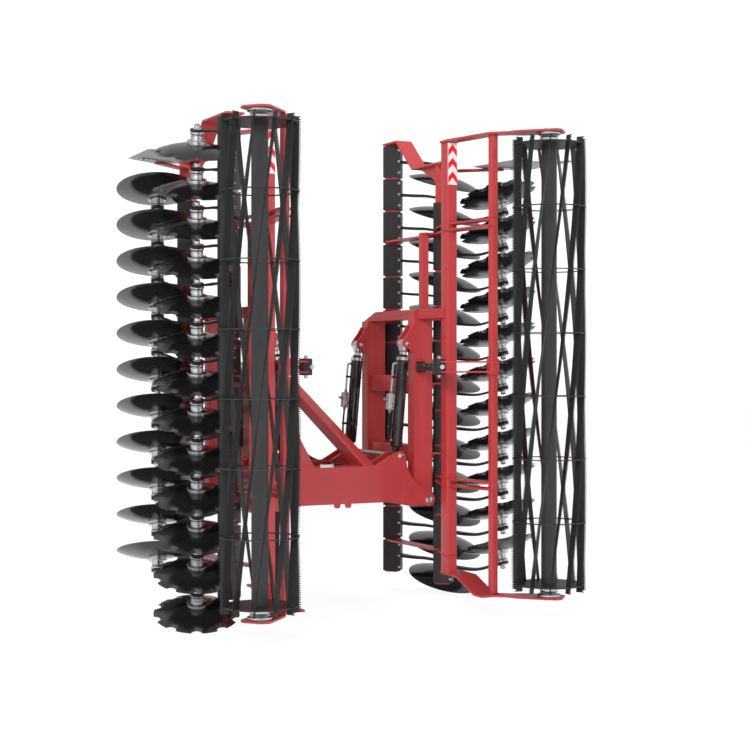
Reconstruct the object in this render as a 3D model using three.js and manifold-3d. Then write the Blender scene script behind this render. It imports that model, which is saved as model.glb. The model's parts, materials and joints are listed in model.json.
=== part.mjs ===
// Folding disc harrow, six metres wide at work, parked with both wings folded up.
// Millimetres, +X to the machine's right, +Y forward to the tractor, +Z up. Z = 0 is the floor.
// Each wing is built as the right one in the folded position, and the left one is its mirror
// image with its own rows of discs. The finished group stands on Z = 0 at the middle of its box.
import * as THREE from "three";
import { mergeVertices } from "three/addons/utils/BufferGeometryUtils.js";
import Module from "manifold-3d";

const wasm = await Module();
wasm.setup();

// Discs and the arms that carry them
const discDiameter = 560;
const discThickness = 9; // at the crown
const dishDepth = 62; // from the rim's plane to the crown
const discPitch = 250; // along one row
const longRow = 13; // discs in a long row
const shortRow = 11; // discs in a short row
const attackAngle = 17.5; // degrees, a disc's lean to the line of travel
const undercutAngle = 5; // degrees, a disc's lean to the ground
const notchCount = 10;
const notchDepth = 34;
const armEndX = 1164; // arm ends, from the machine's centre
const rearArmY = -26; // arm ends of the rear row
const rowDistance = 768; // from the rear row to the front row
const armThickness = 20;
const armWidth = 70;
const armPull = [150, -215]; // from the beam to the point that bends an arm's curve
const armBossRadius = 42;
const armBossRoot = 4; // a boss starts this far from its arm's middle
const armClearance = 5.75; // from an arm's face to the low edge of its leaning hub
const hubRadius = 50;
const hubNeckRadius = 38;
const hubHeadLength = 50; // the hub's wide part
const hubShoulder = 6; // the slope from the wide part to the neck
const hubLength = 85; // from the boss's face to the disc's crown
const runningGap = 0.4; // between a turning face and the face it runs on

// From the arm's middle to the face that the hub turns on. The hub leans, so its low edge sets it.
const axleRise = Math.cos((attackAngle * Math.PI) / 180) * Math.cos((undercutAngle * Math.PI) / 180);
const axleSlope = Math.sqrt(1 - axleRise ** 2);
const armBossRise = (armThickness / 2 + hubRadius * axleSlope + armClearance) / axleRise;

// The lowest discs stand on the floor, which sets the height of the lowest arms' middle.
const rimDrop = (discDiameter / 2) * axleSlope;
const lowestArmZ = (armBossRise + hubLength + dishDepth) * axleRise + rimDrop;

// The two square beams that stand on edge, and their clamp housings
const beamX = 830;
const rearBeamY = 255;
const frontBeamY = 1035;
const beamSide = 100;
const housingSide = 130;
const housingGap = 15; // between two housings on a beam
const beamFootDrop = discPitch / 2 + 2; // a beam's foot under its lowest arm
const beamEndRise = 134; // a beam's end past its last arm
const shortBeamRise = 399; // past the last arm of a short row

// Wing frame
const mainTubeX = 690;
const mainTubeY = -67;
const mainTubeWidth = 80;
const mainTubeDepth = 95;
const mainTubeBottom = 256;
const rearTubeX = 768;
const rearTubeY = -529;
const rearTubeSide = 50;
const plateThickness = 15;
const tipPlateHalf = [75, 60]; // a tip plate's reach inboard and outboard of the beams
const tipPlateEnds = [30, 95]; // its reach ahead of the front beam and behind the rear beam
const tipPlateBends = [185, 345]; // from the front beam back and from the rear beam forward
const smallRibWidth = 90;
const ribWidth = 110;
const ribInset = 25; // ribs lie this far inboard of the beams, clear of the discs
const upperRibZ = 2640;
const lowerRibZ = 860;
const footRibZ = 376;
const ribPairGap = 30; // clear space between the two plates of a double rib
const postX = 635; // middle of the posts
const postWidth = 150;
const postDepth = 100;
const postTop = 2105;
const postFoot = 45; // below the fold pivot
const postLinkWidth = 80; // plates from the posts to the beams
const capHeight = 70;
const capEnds = [45, 40]; // the cap's reach past the front and rear posts
const braceWidth = 55;
const upperTieZ = 1575; // ties from the rear post to the front post
const lowerTieZ = 1075;
const tieHeight = 120;
const tieWidth = 110;
const earWall = 14; // thickness of an ear that holds a cylinder's rod
const depthArm = { x: 500, y: -262, z: 1695, width: 50, height: 84 }; // sets the roller's depth
const depthBlock = { half: 35, rise: 50 };
const depthScrewRadius = 28;

// Fold pivots and cylinders
const pivotX = 660;
const pivotZ = 748;
const pivotPinRadius = 26;
const rearPlaneY = 250; // middle of the rear post and of the rear cylinder
const frontPlaneY = 980; // the same at the front
const cylinderBaseX = 433;
const cylinderBaseZ = 1069;
const cylinderEyeX = 504;
const cylinderEyeZ = 1862;
const barrelRadius = 42;
const barrelLength = 700; // from the base pin to the gland's face
const barrelLugRadius = 34;
const barrelLugWidth = 40;
const barrelNeck = 62; // from the base pin to the barrel's end cap
const boreFloor = 100; // from the base pin to the inner end of the bore
const valveBlock = { place: 0.55, wall: 8, x: 26, y: 24, z: 58 }; // half sizes; wall is bore to block
const rodRadius = 25;
const boreRadius = rodRadius + 1;
const rodLength = 690; // from its eye back to its inner end
const rodEyeRadius = 34;
const basePinRadius = 19;
const pinGap = 0.85; // radial gap round a pin

// Rollers
const rollerX = 1048;
const rollerY = -787;
const rollerRadius = 252;
const rollerPlateBottom = 242;
const rollerPlateTop = lowestArmZ + (longRow - 1) * discPitch - 78.4;
const rollerPlateThickness = 10;
const rollerRingThickness = 6;
const rollerRings = 5; // with the two end plates; the thin ones between them are left out
const rollerTubeRadius = 52;
const bladeCount = 11;
const bladeDepth = 56; // radial
const bladeThickness = 8;
const bladeOverhang = 40; // past the end plates
const bladeToArm = 40; // from the blades' ends to the roller arms
const rollerPlateInset = 20; // an end plate's rim inside the blades' edges
const rollerRingInset = 32; // the same for a ring
const bladeTwist = 100; // degrees from end to end
const bladeStart = 26; // degrees, where the first blade stands at mid length
const bladeSteps = 5; // straight stretches that follow the twist
const stubRadius = 30;
const bearingRadius = 78;
const bearingHeight = 62;
const sideArmReach = 100; // past the roller's axis
const bearingPlateWidth = 200; // a roller arm's wide end, under the bearing
const bearingPlateReach = 110; // from the roller's axis back along the arm

// Centre frame and headstock
const sidePlate = 20; // thickness of the plates across the machine
const plateGap = postDepth / 2 + 10; // from a post's middle plane to the inner face of the plate beside it
const centrePlateTop = 1006;
const centrePlateBottom = 712;
const centreBoxHalf = 390;
const centreBoxBottom = 765;
const centreBoxTop = 955;
const railX = 280;
const railInset = [20, 10]; // a rail's bottom and top inside those of the box
const pivotPinReach = 14; // a pin's end past the outer face of a plate
const railWidth = 120;
const hitchY = 1400; // middle of the cross tube that carries the link brackets
const hitchTubeZ = 880;
const hitchTubeSide = 140;
const lowerLinkHalf = 482.5; // middle of a lower link bracket, category 3
const linkCheekGap = 45; // half the space between the two cheeks of a bracket
const linkCheek = 20;
const lowerLinkZ = 820;
const mastHeight = 760; // from the lower links to the top link
const mastHalf = 70; // half the space between the mast's two plates
const strutHead = 30; // a strut's head outside the mast's plates
const strutFoot = 60; // below the top of the rear plates
const strutSide = 90;
const strutHalf = 235; // where a strut stands on the rear plates

// Parking stand
const standPivotZ = 712;
const standPivotY = 1362;
const standLean = 40; // the foot stands this far ahead of its pivot
const standTube = 50;
const standPinRadius = 12;
const standGap = 2; // between the tube and a lug
const standHead = 30; // the tube's reach above its pin
const footSide = 180;
const footThickness = 12;

// Side deflectors
const deflectorDrop = 42; // below the top of a short row's beam
const deflectorZ = lowestArmZ + (shortRow - 1) * discPitch + shortBeamRise - deflectorDrop;
const deflectorThickness = 8;
const deflectorBracketWidth = 60;

const paint = (name, colour, roughness, metalness) => {
  const material = new THREE.MeshStandardMaterial({ color: colour, roughness, metalness });
  material.name = name;
  return material;
};
const redPaint = paint("red_paint", 0xc14042, 0.4, 0.1);
const blackPaint = paint("black_paint", 0x2b2b2b, 0.5, 0.2);
const discSteel = paint("disc_steel", 0x555759, 0.3, 0.9);
const brightSteel = paint("bright_steel", 0xb9bcc0, 0.25, 1.0);

// A three.js geometry as a solid. Only its positions are kept, with shared vertices merged.
function solidOf(geometry) {
  const bare = new THREE.BufferGeometry();
  bare.setAttribute("position", geometry.getAttribute("position"));
  if (geometry.index) bare.setIndex(geometry.index);
  const merged = mergeVertices(bare, 1e-3);
  const mesh = new wasm.Mesh({
    numProp: 3,
    vertProperties: merged.attributes.position.array,
    triVerts: new Uint32Array(merged.index.array),
  });
  return new wasm.Manifold(mesh);
}

function geometryOf(solid) {
  const { numProp, vertProperties, triVerts } = solid.getMesh();
  const positions = new Float32Array((vertProperties.length / numProp) * 3);
  for (let i = 0; i < positions.length / 3; i++)
    positions.set(vertProperties.subarray(i * numProp, i * numProp + 3), i * 3);
  const geometry = new THREE.BufferGeometry();
  geometry.setAttribute("position", new THREE.BufferAttribute(positions, 3));
  geometry.setIndex(new THREE.BufferAttribute(triVerts, 1));
  return geometry;
}

const join = (solids) => solids.reduce((whole, solid) => whole.add(solid));

// The mirror image of a solid in the plane X = 0.
function mirrored(solid) {
  const geometry = geometryOf(solid);
  geometry.applyMatrix4(new THREE.Matrix4().makeScale(-1, 1, 1));
  const index = geometry.index.array;
  for (let i = 0; i < index.length; i += 3) {
    const second = index[i + 1];
    index[i + 1] = index[i + 2];
    index[i + 2] = second;
  }
  return solidOf(geometry);
}

function box(x0, x1, y0, y1, z0, z1) {
  const geometry = new THREE.BoxGeometry(x1 - x0, y1 - y0, z1 - z0);
  geometry.translate((x0 + x1) / 2, (y0 + y1) / 2, (z0 + z1) / 2);
  return solidOf(geometry);
}

// An outline extruded along one axis, from one place to another. Its points are
// (x, y) for an extrusion along z, (x, z) along y and (y, z) along x.
function extruded(points, axis, from, to) {
  const flip = axis === "y" ? -1 : 1;
  const outline = new THREE.Shape(points.map(([a, b]) => new THREE.Vector2(a, b)));
  const geometry = new THREE.ExtrudeGeometry(outline, { depth: to - from, bevelEnabled: false });
  geometry.translate(0, 0, flip > 0 ? from : -to);
  const along = {
    x: [0, 0, 1, 0, 1, 0, 0, 0, 0, 1, 0, 0],
    y: [1, 0, 0, 0, 0, 0, -1, 0, 0, 1, 0, 0],
    z: [1, 0, 0, 0, 0, 1, 0, 0, 0, 0, 1, 0],
  }[axis];
  geometry.applyMatrix4(new THREE.Matrix4().set(...along, 0, 0, 0, 1));
  return solidOf(geometry);
}

// The outline of a band of even width along a path of points, with mitred corners.
function band(path, width) {
  const points = path.map(([a, b]) => new THREE.Vector2(a, b));
  const side = (sign) =>
    points.map((point, i) => {
      const before = points[Math.max(i - 1, 0)];
      const after = points[Math.min(i + 1, points.length - 1)];
      const into = point.clone().sub(i ? before : point).normalize();
      const out = after.clone().sub(point).normalize();
      if (!i) into.copy(out);
      if (i === points.length - 1) out.copy(into);
      const tangent = into.clone().add(out).normalize();
      const normal = new THREE.Vector2(-tangent.y, tangent.x);
      const reach = width / 2 / normal.dot(new THREE.Vector2(-into.y, into.x));
      return [point.x + sign * reach * normal.x, point.y + sign * reach * normal.y];
    });
  return [...side(-1), ...side(1).reverse()];
}

// A cylinder or a many-sided bar from one point to another.
function bar(from, to, radius, sides = 12, turn = 0) {
  const start = new THREE.Vector3(...from);
  const end = new THREE.Vector3(...to);
  const geometry = new THREE.CylinderGeometry(radius, radius, start.distanceTo(end), sides);
  geometry.rotateY(turn);
  place(geometry, start.clone().add(end).divideScalar(2), end.clone().sub(start));
  return solidOf(geometry);
}

// Turns a geometry's own +Y axis to a direction and moves it to a point.
function place(geometry, point, direction) {
  const up = new THREE.Vector3(0, 1, 0);
  const turn = new THREE.Quaternion().setFromUnitVectors(up, direction.clone().normalize());
  geometry.applyMatrix4(new THREE.Matrix4().makeRotationFromQuaternion(turn));
  geometry.translate(point.x, point.y, point.z);
  return geometry;
}

// A square bar from one point to another, with its flats level.
function squareBar(from, to, side) {
  return bar(from, to, side / Math.SQRT2, 4, Math.PI / 4);
}

// A round bar across the machine, as long on both sides of its middle.
function alongX(half, y, z, radius) {
  return bar([-half, y, z], [half, y, z], radius, 12);
}

// A level strip of plate along a path, with its middle at a height.
function levelStrip(path, width, z) {
  return extruded(band(path, width), "z", z - plateThickness / 2, z + plateThickness / 2);
}

function meshOf(name, solid, material) {
  const geometry = geometryOf(solid);
  const mesh = new THREE.Mesh(geometry, material);
  mesh.name = name;
  return mesh;
}

// Disc with its hub. Its own +Y runs along the axle from the arm's boss to the disc's hollow side.
// The dish is a shallow cone ground to an edge at its rim, and its notches are V-shaped.
function discGeometry(notched) {
  const radius = discDiameter / 2;
  const crown = hubLength;
  const segments = notched ? notchCount * 3 : 20;
  const dish = new THREE.LatheGeometry(
    [
      [0, crown],
      [hubNeckRadius, crown],
      [radius, crown + dishDepth],
      [0, crown + discThickness],
    ].map(([r, h]) => new THREE.Vector2(r, h)),
    segments,
  );
  if (notched) {
    const spots = dish.getAttribute("position");
    const inner = (radius - notchDepth) / radius;
    const sink = (dishDepth * notchDepth) / radius;
    for (let i = 0; i < spots.count; i++) {
      const turn = Math.round((Math.atan2(spots.getZ(i), spots.getX(i)) / (2 * Math.PI)) * segments);
      const atRim = Math.hypot(spots.getX(i), spots.getZ(i)) > radius - 1;
      if (atRim && ((turn % 3) + 3) % 3 === 0)
        spots.setXYZ(i, spots.getX(i) * inner, spots.getY(i) - sink, spots.getZ(i) * inner);
    }
  }
  const hub = new THREE.LatheGeometry(
    [
      [0, 0],
      [hubRadius, 0],
      [hubRadius, hubHeadLength],
      [hubNeckRadius, hubHeadLength + hubShoulder],
      [hubNeckRadius, crown + 3],
      [0, crown + 3],
    ].map(([r, h]) => new THREE.Vector2(r, h)),
    8,
  );
  return join([solidOf(dish), solidOf(hub)]);
}

// The direction from a right-hand arm's boss to its disc's hollow side; up is 1 or -1.
function discFacing(up) {
  const attack = THREE.MathUtils.degToRad(attackAngle);
  const undercut = THREE.MathUtils.degToRad(undercutAngle);
  const across = Math.cos(undercut);
  return new THREE.Vector3(
    -Math.sin(undercut),
    Math.sin(attack) * across,
    up * Math.cos(attack) * across,
  );
}

// The arm ends of one row of a right wing, from the bottom up.
function rowSpots(isFront, count) {
  const y = isFront ? rearArmY + rowDistance : rearArmY;
  return Array.from(
    { length: count },
    (_, i) => new THREE.Vector3(armEndX, y, lowestArmZ + i * discPitch),
  );
}

// One clamp arm with its boss, which leans with the disc that it carries.
function armSolid(spot, isFront, up) {
  const beamY = isFront ? frontBeamY : rearBeamY;
  const path = new THREE.QuadraticBezierCurve(
    new THREE.Vector2(beamX, beamY),
    new THREE.Vector2(beamX + armPull[0], beamY + armPull[1]),
    new THREE.Vector2(spot.x, spot.y),
  );
  const line = path.getPoints(2).map((p) => [p.x, p.y]);
  const half = armThickness / 2;
  const facing = discFacing(up);
  const foot = spot.clone().addScaledVector(facing, armBossRoot);
  const face = spot.clone().addScaledVector(facing, armBossRise - runningGap);
  return join([
    extruded(band(line, armWidth), "z", spot.z - half, spot.z + half),
    bar(foot.toArray(), face.toArray(), armBossRadius, 8),
  ]);
}

// A square beam on edge with a clamp housing round it at each arm.
function beamSolid(y, count) {
  const bottom = lowestArmZ - beamFootDrop;
  const lastArm = lowestArmZ + (count - 1) * discPitch;
  const top = beamTop(count);
  const parts = [bar([beamX, y, bottom], [beamX, y, top], beamSide / Math.SQRT2, 4)];
  const half = (discPitch - housingGap) / 2;
  for (let z = lowestArmZ; z < lastArm + 1; z += discPitch)
    parts.push(bar([beamX, y, z - half], [beamX, y, z + half], housingSide / Math.SQRT2, 4));
  return join(parts);
}

function beamTop(count) {
  const lastArm = lowestArmZ + (count - 1) * discPitch;
  return lastArm + (count === longRow ? beamEndRise : shortBeamRise);
}

// The frame of a right wing, with its beams, arms, posts, tubes and roller arms.
function wingSolid(frontCount, rearCount, frontUp) {
  const t = plateThickness;
  const postLeft = postX - postWidth / 2;
  const postRight = postX + postWidth / 2;
  const parts = [beamSolid(frontBeamY, frontCount), beamSolid(rearBeamY, rearCount)];
  rowSpots(true, frontCount).forEach((spot) => parts.push(armSolid(spot, true, frontUp)));
  rowSpots(false, rearCount).forEach((spot) => parts.push(armSolid(spot, false, -frontUp)));

  // upright tubes
  const tubeBottom = rollerPlateBottom - bladeOverhang - bladeToArm - t;
  const tubeTop = rollerPlateTop + bladeOverhang + bladeToArm + t;
  const mainLeft = mainTubeX - mainTubeWidth / 2;
  const mainRight = mainTubeX + mainTubeWidth / 2;
  const mainRear = mainTubeY - mainTubeDepth / 2;
  const mainFront = mainTubeY + mainTubeDepth / 2;
  parts.push(box(mainLeft, mainRight, mainRear, mainFront, mainTubeBottom, tubeTop));
  const rearHalf = rearTubeSide / 2;
  parts.push(
    box(
      rearTubeX - rearHalf,
      rearTubeX + rearHalf,
      rearTubeY - rearHalf,
      rearTubeY + rearHalf,
      tubeBottom,
      tubeTop,
    ),
  );

  // folded plates that tie the beams and the tubes at the tips and at the feet
  const frontTop = beamTop(frontCount);
  const rearTop = beamTop(rearCount);
  const tipPath = [
    [frontBeamY + tipPlateEnds[0], frontTop],
    [frontBeamY - tipPlateBends[0], frontTop],
    [rearBeamY + tipPlateBends[1], rearTop],
    [rearBeamY - tipPlateEnds[1], rearTop],
  ];
  parts.push(extruded(band(tipPath, t), "x", beamX - tipPlateHalf[0], beamX + tipPlateHalf[1]));
  const tipRib = [
    [beamX, rearBeamY],
    [mainTubeX, mainTubeY],
  ];
  const tipRibZ = Math.min(rearTop, tubeTop) - t;
  parts.push(levelStrip(tipRib, smallRibWidth, tipRibZ));
  const footPath = [
    [mainFront + 12, mainTubeBottom],
    [mainRear - 120, mainTubeBottom - 6],
    [rearTubeY + 60, tubeBottom + t / 2],
    [rearTubeY - 50, tubeBottom + t / 2],
  ];
  parts.push(extruded(band(footPath, t), "x", mainLeft, rearTubeX + 45));
  const footRib = [
    [beamX - ribInset, frontBeamY],
    [beamX - ribInset, rearBeamY],
  ];
  parts.push(levelStrip(footRib, smallRibWidth, footRibZ));
  const footTie = [
    [beamX - 10, rearBeamY],
    [mainTubeX + 14, mainTubeY],
  ];
  parts.push(levelStrip(footTie, smallRibWidth, footRibZ));

  // ribs across both beams and both tubes
  const tail = [
    [beamX - ribInset, rearBeamY],
    [mainTubeX + 14, mainTubeY],
    [rearTubeX, rearTubeY],
  ];
  const across = [[beamX - ribInset, frontBeamY], ...tail];
  parts.push(levelStrip(across, ribWidth - 10, upperRibZ + t / 2));
  for (const low of [upperRibZ + t + ribPairGap, lowerRibZ, lowerRibZ + t + ribPairGap])
    parts.push(levelStrip(tail, ribWidth - 20, low + t / 2));

  // posts, which turn on the fold pivots, with the ears for the cylinder rods
  for (const y of [rearPlaneY, frontPlaneY]) {
    const rear = y - postDepth / 2;
    const front = y + postDepth / 2;
    const outline = [
      [postLeft + 45, pivotZ - postFoot],
      [postRight - 40, pivotZ - postFoot],
      [postRight, pivotZ],
      [postRight, postTop],
      [postLeft, postTop],
      [postLeft, pivotZ + 30],
    ];
    parts.push(extruded(outline, "y", rear, front));
    const eyeOut = cylinderEyeX - rodEyeRadius;
    const ear = [
      [postLeft + 5, cylinderEyeZ - 75],
      [cylinderEyeX + 10, cylinderEyeZ - rodEyeRadius - 4],
      [eyeOut, cylinderEyeZ - 12],
      [eyeOut, cylinderEyeZ + 18],
      [cylinderEyeX + 20, cylinderEyeZ + 90],
      [postLeft + 5, postTop - capHeight - 10],
    ];
    parts.push(extruded(ear, "y", rear, rear + earWall));
    parts.push(extruded(ear, "y", front - earWall, front));
  }
  const tieLeft = postX - tieWidth / 2;
  const tieRight = postX + tieWidth / 2;
  for (const z of [upperTieZ, lowerTieZ]) {
    const half = tieHeight / 2;
    parts.push(box(tieLeft, tieRight, rearPlaneY, frontPlaneY, z - half, z + half));
  }

  // cap over the posts, run on to the main tube, and the brace that stands on it
  const cap = [
    [postX, frontPlaneY + capEnds[0]],
    [postX, rearPlaneY - capEnds[1]],
    [mainTubeX, mainTubeY],
  ];
  parts.push(extruded(band(cap, tieWidth), "z", postTop - capHeight, postTop));
  const braceY = rearPlaneY - 30;
  parts.push(
    box(postX, postX + braceWidth, braceY, braceY + braceWidth, postTop - 5, upperRibZ + t),
  );
  const braceRib = [
    [postX + 15, braceY + braceWidth / 2],
    [beamX, rearBeamY],
  ];
  parts.push(levelStrip(braceRib, smallRibWidth, upperRibZ + t / 2));

  // plates from the posts to the beams
  const plateLevels = [lowerTieZ, upperTieZ, postTop - capHeight];
  for (const [planeY, beamY] of [
    [rearPlaneY, rearBeamY],
    [frontPlaneY, frontBeamY],
  ])
    for (const z of plateLevels) {
      const link = [
        [postX, planeY],
        [beamX, beamY],
      ];
      parts.push(levelStrip(link, postLinkWidth, z));
    }

  // roller arms at both ends, with the bearings that carry the roller
  const outward = new THREE.Vector2(rollerX - rearTubeX, rollerY - rearTubeY).normalize();
  const armTip = [rollerX + outward.x * sideArmReach, rollerY + outward.y * sideArmReach];
  const armPath = [[rearTubeX, rearTubeY], [rollerX, rollerY], armTip];
  const topPath = [[mainTubeX, mainFront], [mainTubeX, mainTubeY - 60], ...armPath];
  const heel = [rollerX - outward.x * bearingPlateReach, rollerY - outward.y * bearingPlateReach];
  for (const [path, level] of [
    [topPath, tubeTop - t / 2],
    [armPath, tubeBottom + t / 2],
  ]) {
    parts.push(levelStrip(path, ribWidth, level));
    parts.push(levelStrip([heel, armTip], bearingPlateWidth, level));
  }
  const stubFace = runningGap + bearingHeight;
  for (const [from, to] of [
    [tubeTop - t, tubeTop - t - stubFace],
    [tubeBottom + t, tubeBottom + t + stubFace],
  ])
    parts.push(bar([rollerX, rollerY, from], [rollerX, rollerY, to], bearingRadius, 14));

  // depth setting arm and its screw, half way up the wing
  const { x, y, z, width, height } = depthArm;
  const setPath = [
    [rearTubeX, rearTubeY],
    [x, y],
  ];
  parts.push(extruded(band(setPath, width), "z", z - height / 2, z + height / 2));
  const screwEnd = [postX - 40, rearPlaneY - postDepth / 2 + 2, z];
  parts.push(bar([x, y, z], screwEnd, depthScrewRadius, 10));
  const { half, rise } = depthBlock;
  parts.push(box(x - half, x + half, y - half, y + half, z - rise, z + rise));

  // side deflector on the short row's side
  const shortY = frontCount === shortRow ? rowDistance + rearArmY : rearArmY;
  const shortBeam = frontCount === shortRow ? frontBeamY : rearBeamY;
  const deflector = [
    [armEndX - 224, shortY + 41],
    [armEndX - 9, shortY + 121],
    [armEndX + 222, shortY - 36],
    [armEndX + 251, shortY - 572],
    [armEndX + 166, shortY - 477],
    [armEndX + 36, shortY - 407],
    [armEndX - 164, shortY - 382],
  ];
  const bracket = [
    [beamX, shortBeam],
    [armEndX, shortY],
  ];
  const lift = deflectorZ - deflectorThickness;
  parts.push(extruded(deflector, "z", deflectorZ, deflectorZ + deflectorThickness));
  parts.push(extruded(band(bracket, deflectorBracketWidth), "z", lift - 10, deflectorZ));

  // the pivot bores
  const bore = pivotPinRadius + pinGap;
  const cut = bar([pivotX, 0, pivotZ], [pivotX, 1200, pivotZ], bore, 16);
  return join(parts).subtract(cut);
}

// Cage roller: tube, end plates, rings and blades that twist from end to end.
function rollerSolid() {
  const span = rollerPlateTop - rollerPlateBottom;
  const parts = [];
  for (let i = 0; i < rollerRings; i++) {
    const isEnd = i === 0 || i === rollerRings - 1;
    const thick = isEnd ? rollerPlateThickness : rollerRingThickness;
    const radius = rollerRadius - (isEnd ? rollerPlateInset : rollerRingInset);
    const z = rollerPlateBottom + (span * i) / (rollerRings - 1);
    parts.push(bar([0, 0, z - thick / 2], [0, 0, z + thick / 2], radius, 12));
  }
  const bottom = rollerPlateBottom - bladeOverhang;
  const top = rollerPlateTop + bladeOverhang;
  const armFace = bladeOverhang + bladeToArm - bearingHeight - 2 * runningGap;
  const stubBottom = rollerPlateBottom - armFace;
  const stubTop = rollerPlateTop + armFace;
  parts.push(bar([0, 0, rollerPlateBottom], [0, 0, rollerPlateTop], rollerTubeRadius, 8));
  parts.push(bar([0, 0, stubBottom], [0, 0, stubTop], stubRadius, 8));
  const twist = THREE.MathUtils.degToRad(bladeTwist);
  const start = THREE.MathUtils.degToRad(bladeStart);
  for (let i = 0; i < bladeCount; i++) {
    const blade = new THREE.BoxGeometry(bladeDepth, bladeThickness, top - bottom, 1, 1, bladeSteps);
    const spots = blade.getAttribute("position");
    for (let k = 0; k < spots.count; k++) {
      const z = spots.getZ(k);
      const x = spots.getX(k) + rollerRadius - 1 - bladeDepth / 2;
      const turn = start + (twist * z) / (top - bottom) + (2 * Math.PI * i) / bladeCount;
      const y = spots.getY(k);
      const cos = Math.cos(turn);
      const sin = Math.sin(turn);
      spots.setXYZ(k, x * cos - y * sin, x * sin + y * cos, z + (top + bottom) / 2);
    }
    parts.push(solidOf(blade));
  }
  return join(parts);
}

// The two barrels of one wing on the long pin that they share.
function barrelSolid() {
  const base = new THREE.Vector3(cylinderBaseX, 0, cylinderBaseZ);
  const eye = new THREE.Vector3(cylinderEyeX, 0, cylinderEyeZ);
  const along = eye.clone().sub(base).normalize();
  const lug = barrelLugWidth;
  const parts = [];
  for (const y of [rearPlaneY, frontPlaneY]) {
    const start = base.clone().setY(y);
    const shell = new THREE.LatheGeometry(
      [
        [0, barrelNeck],
        [barrelRadius - 4, barrelNeck],
        [barrelRadius, barrelNeck + 8],
        [barrelRadius, barrelLength],
        [boreRadius, barrelLength],
        [boreRadius, boreFloor],
        [0, boreFloor],
      ].map(([r, h]) => new THREE.Vector2(r, h)),
      16,
    );
    parts.push(solidOf(place(shell, start, along)));
    const root = start.clone().addScaledVector(along, barrelNeck + 10);
    parts.push(squareBar(start.toArray(), root.toArray(), lug));
    parts.push(
      bar(
        [base.x, y - lug / 2, base.z],
        [base.x, y + lug / 2, base.z],
        barrelLugRadius,
        12,
      ),
    );
    const half = valveBlock;
    const valve = start.clone().addScaledVector(along, barrelLength * half.place);
    valve.x -= boreRadius + half.wall + half.x;
    const depth = [y - half.y, y + half.y];
    parts.push(box(valve.x - half.x, valve.x + half.x, ...depth, valve.z - half.z, valve.z + half.z));
  }
  const pinReach = plateGap + sidePlate;
  const pin = [
    [base.x, rearPlaneY - pinReach, base.z],
    [base.x, frontPlaneY + pinReach, base.z],
  ];
  parts.push(bar(...pin, basePinRadius, 12));
  return join(parts);
}

function rodSolid(y) {
  const base = new THREE.Vector3(cylinderBaseX, y, cylinderBaseZ);
  const eye = new THREE.Vector3(cylinderEyeX, y, cylinderEyeZ);
  const along = eye.clone().sub(base).normalize();
  const inner = eye.clone().addScaledVector(along, -rodLength);
  const neck = eye.clone().addScaledVector(along, -20);
  const half = postDepth / 2 - earWall - runningGap;
  const rod = new THREE.CylinderGeometry(rodRadius, rodRadius, inner.distanceTo(neck), 16);
  place(rod, inner.clone().add(neck).divideScalar(2), along);
  return join([
    solidOf(rod),
    bar([eye.x, y - half, eye.z], [eye.x, y + half, eye.z], rodEyeRadius, 16),
  ]);
}

// One plate across the machine at the rear or the front, with lugs for pivots and cylinders.
function crossPlate(from, to) {
  const half = [
    [0, centrePlateTop],
    [235, centrePlateTop - 4],
    [400, 1095],
    [445, 1104],
    [474, 1080],
    [490, 985],
    [540, 900],
    [650, 815],
    [706, 790],
    [718, 748],
    [704, centrePlateBottom],
    [500, centrePlateBottom],
    [330, centrePlateBottom + 32],
    [0, centrePlateBottom + 40],
  ];
  const other = half.slice(1, -1).reverse().map(([x, z]) => [-x, z]);
  return extruded([...half, ...other], "y", from, to);
}

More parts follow.
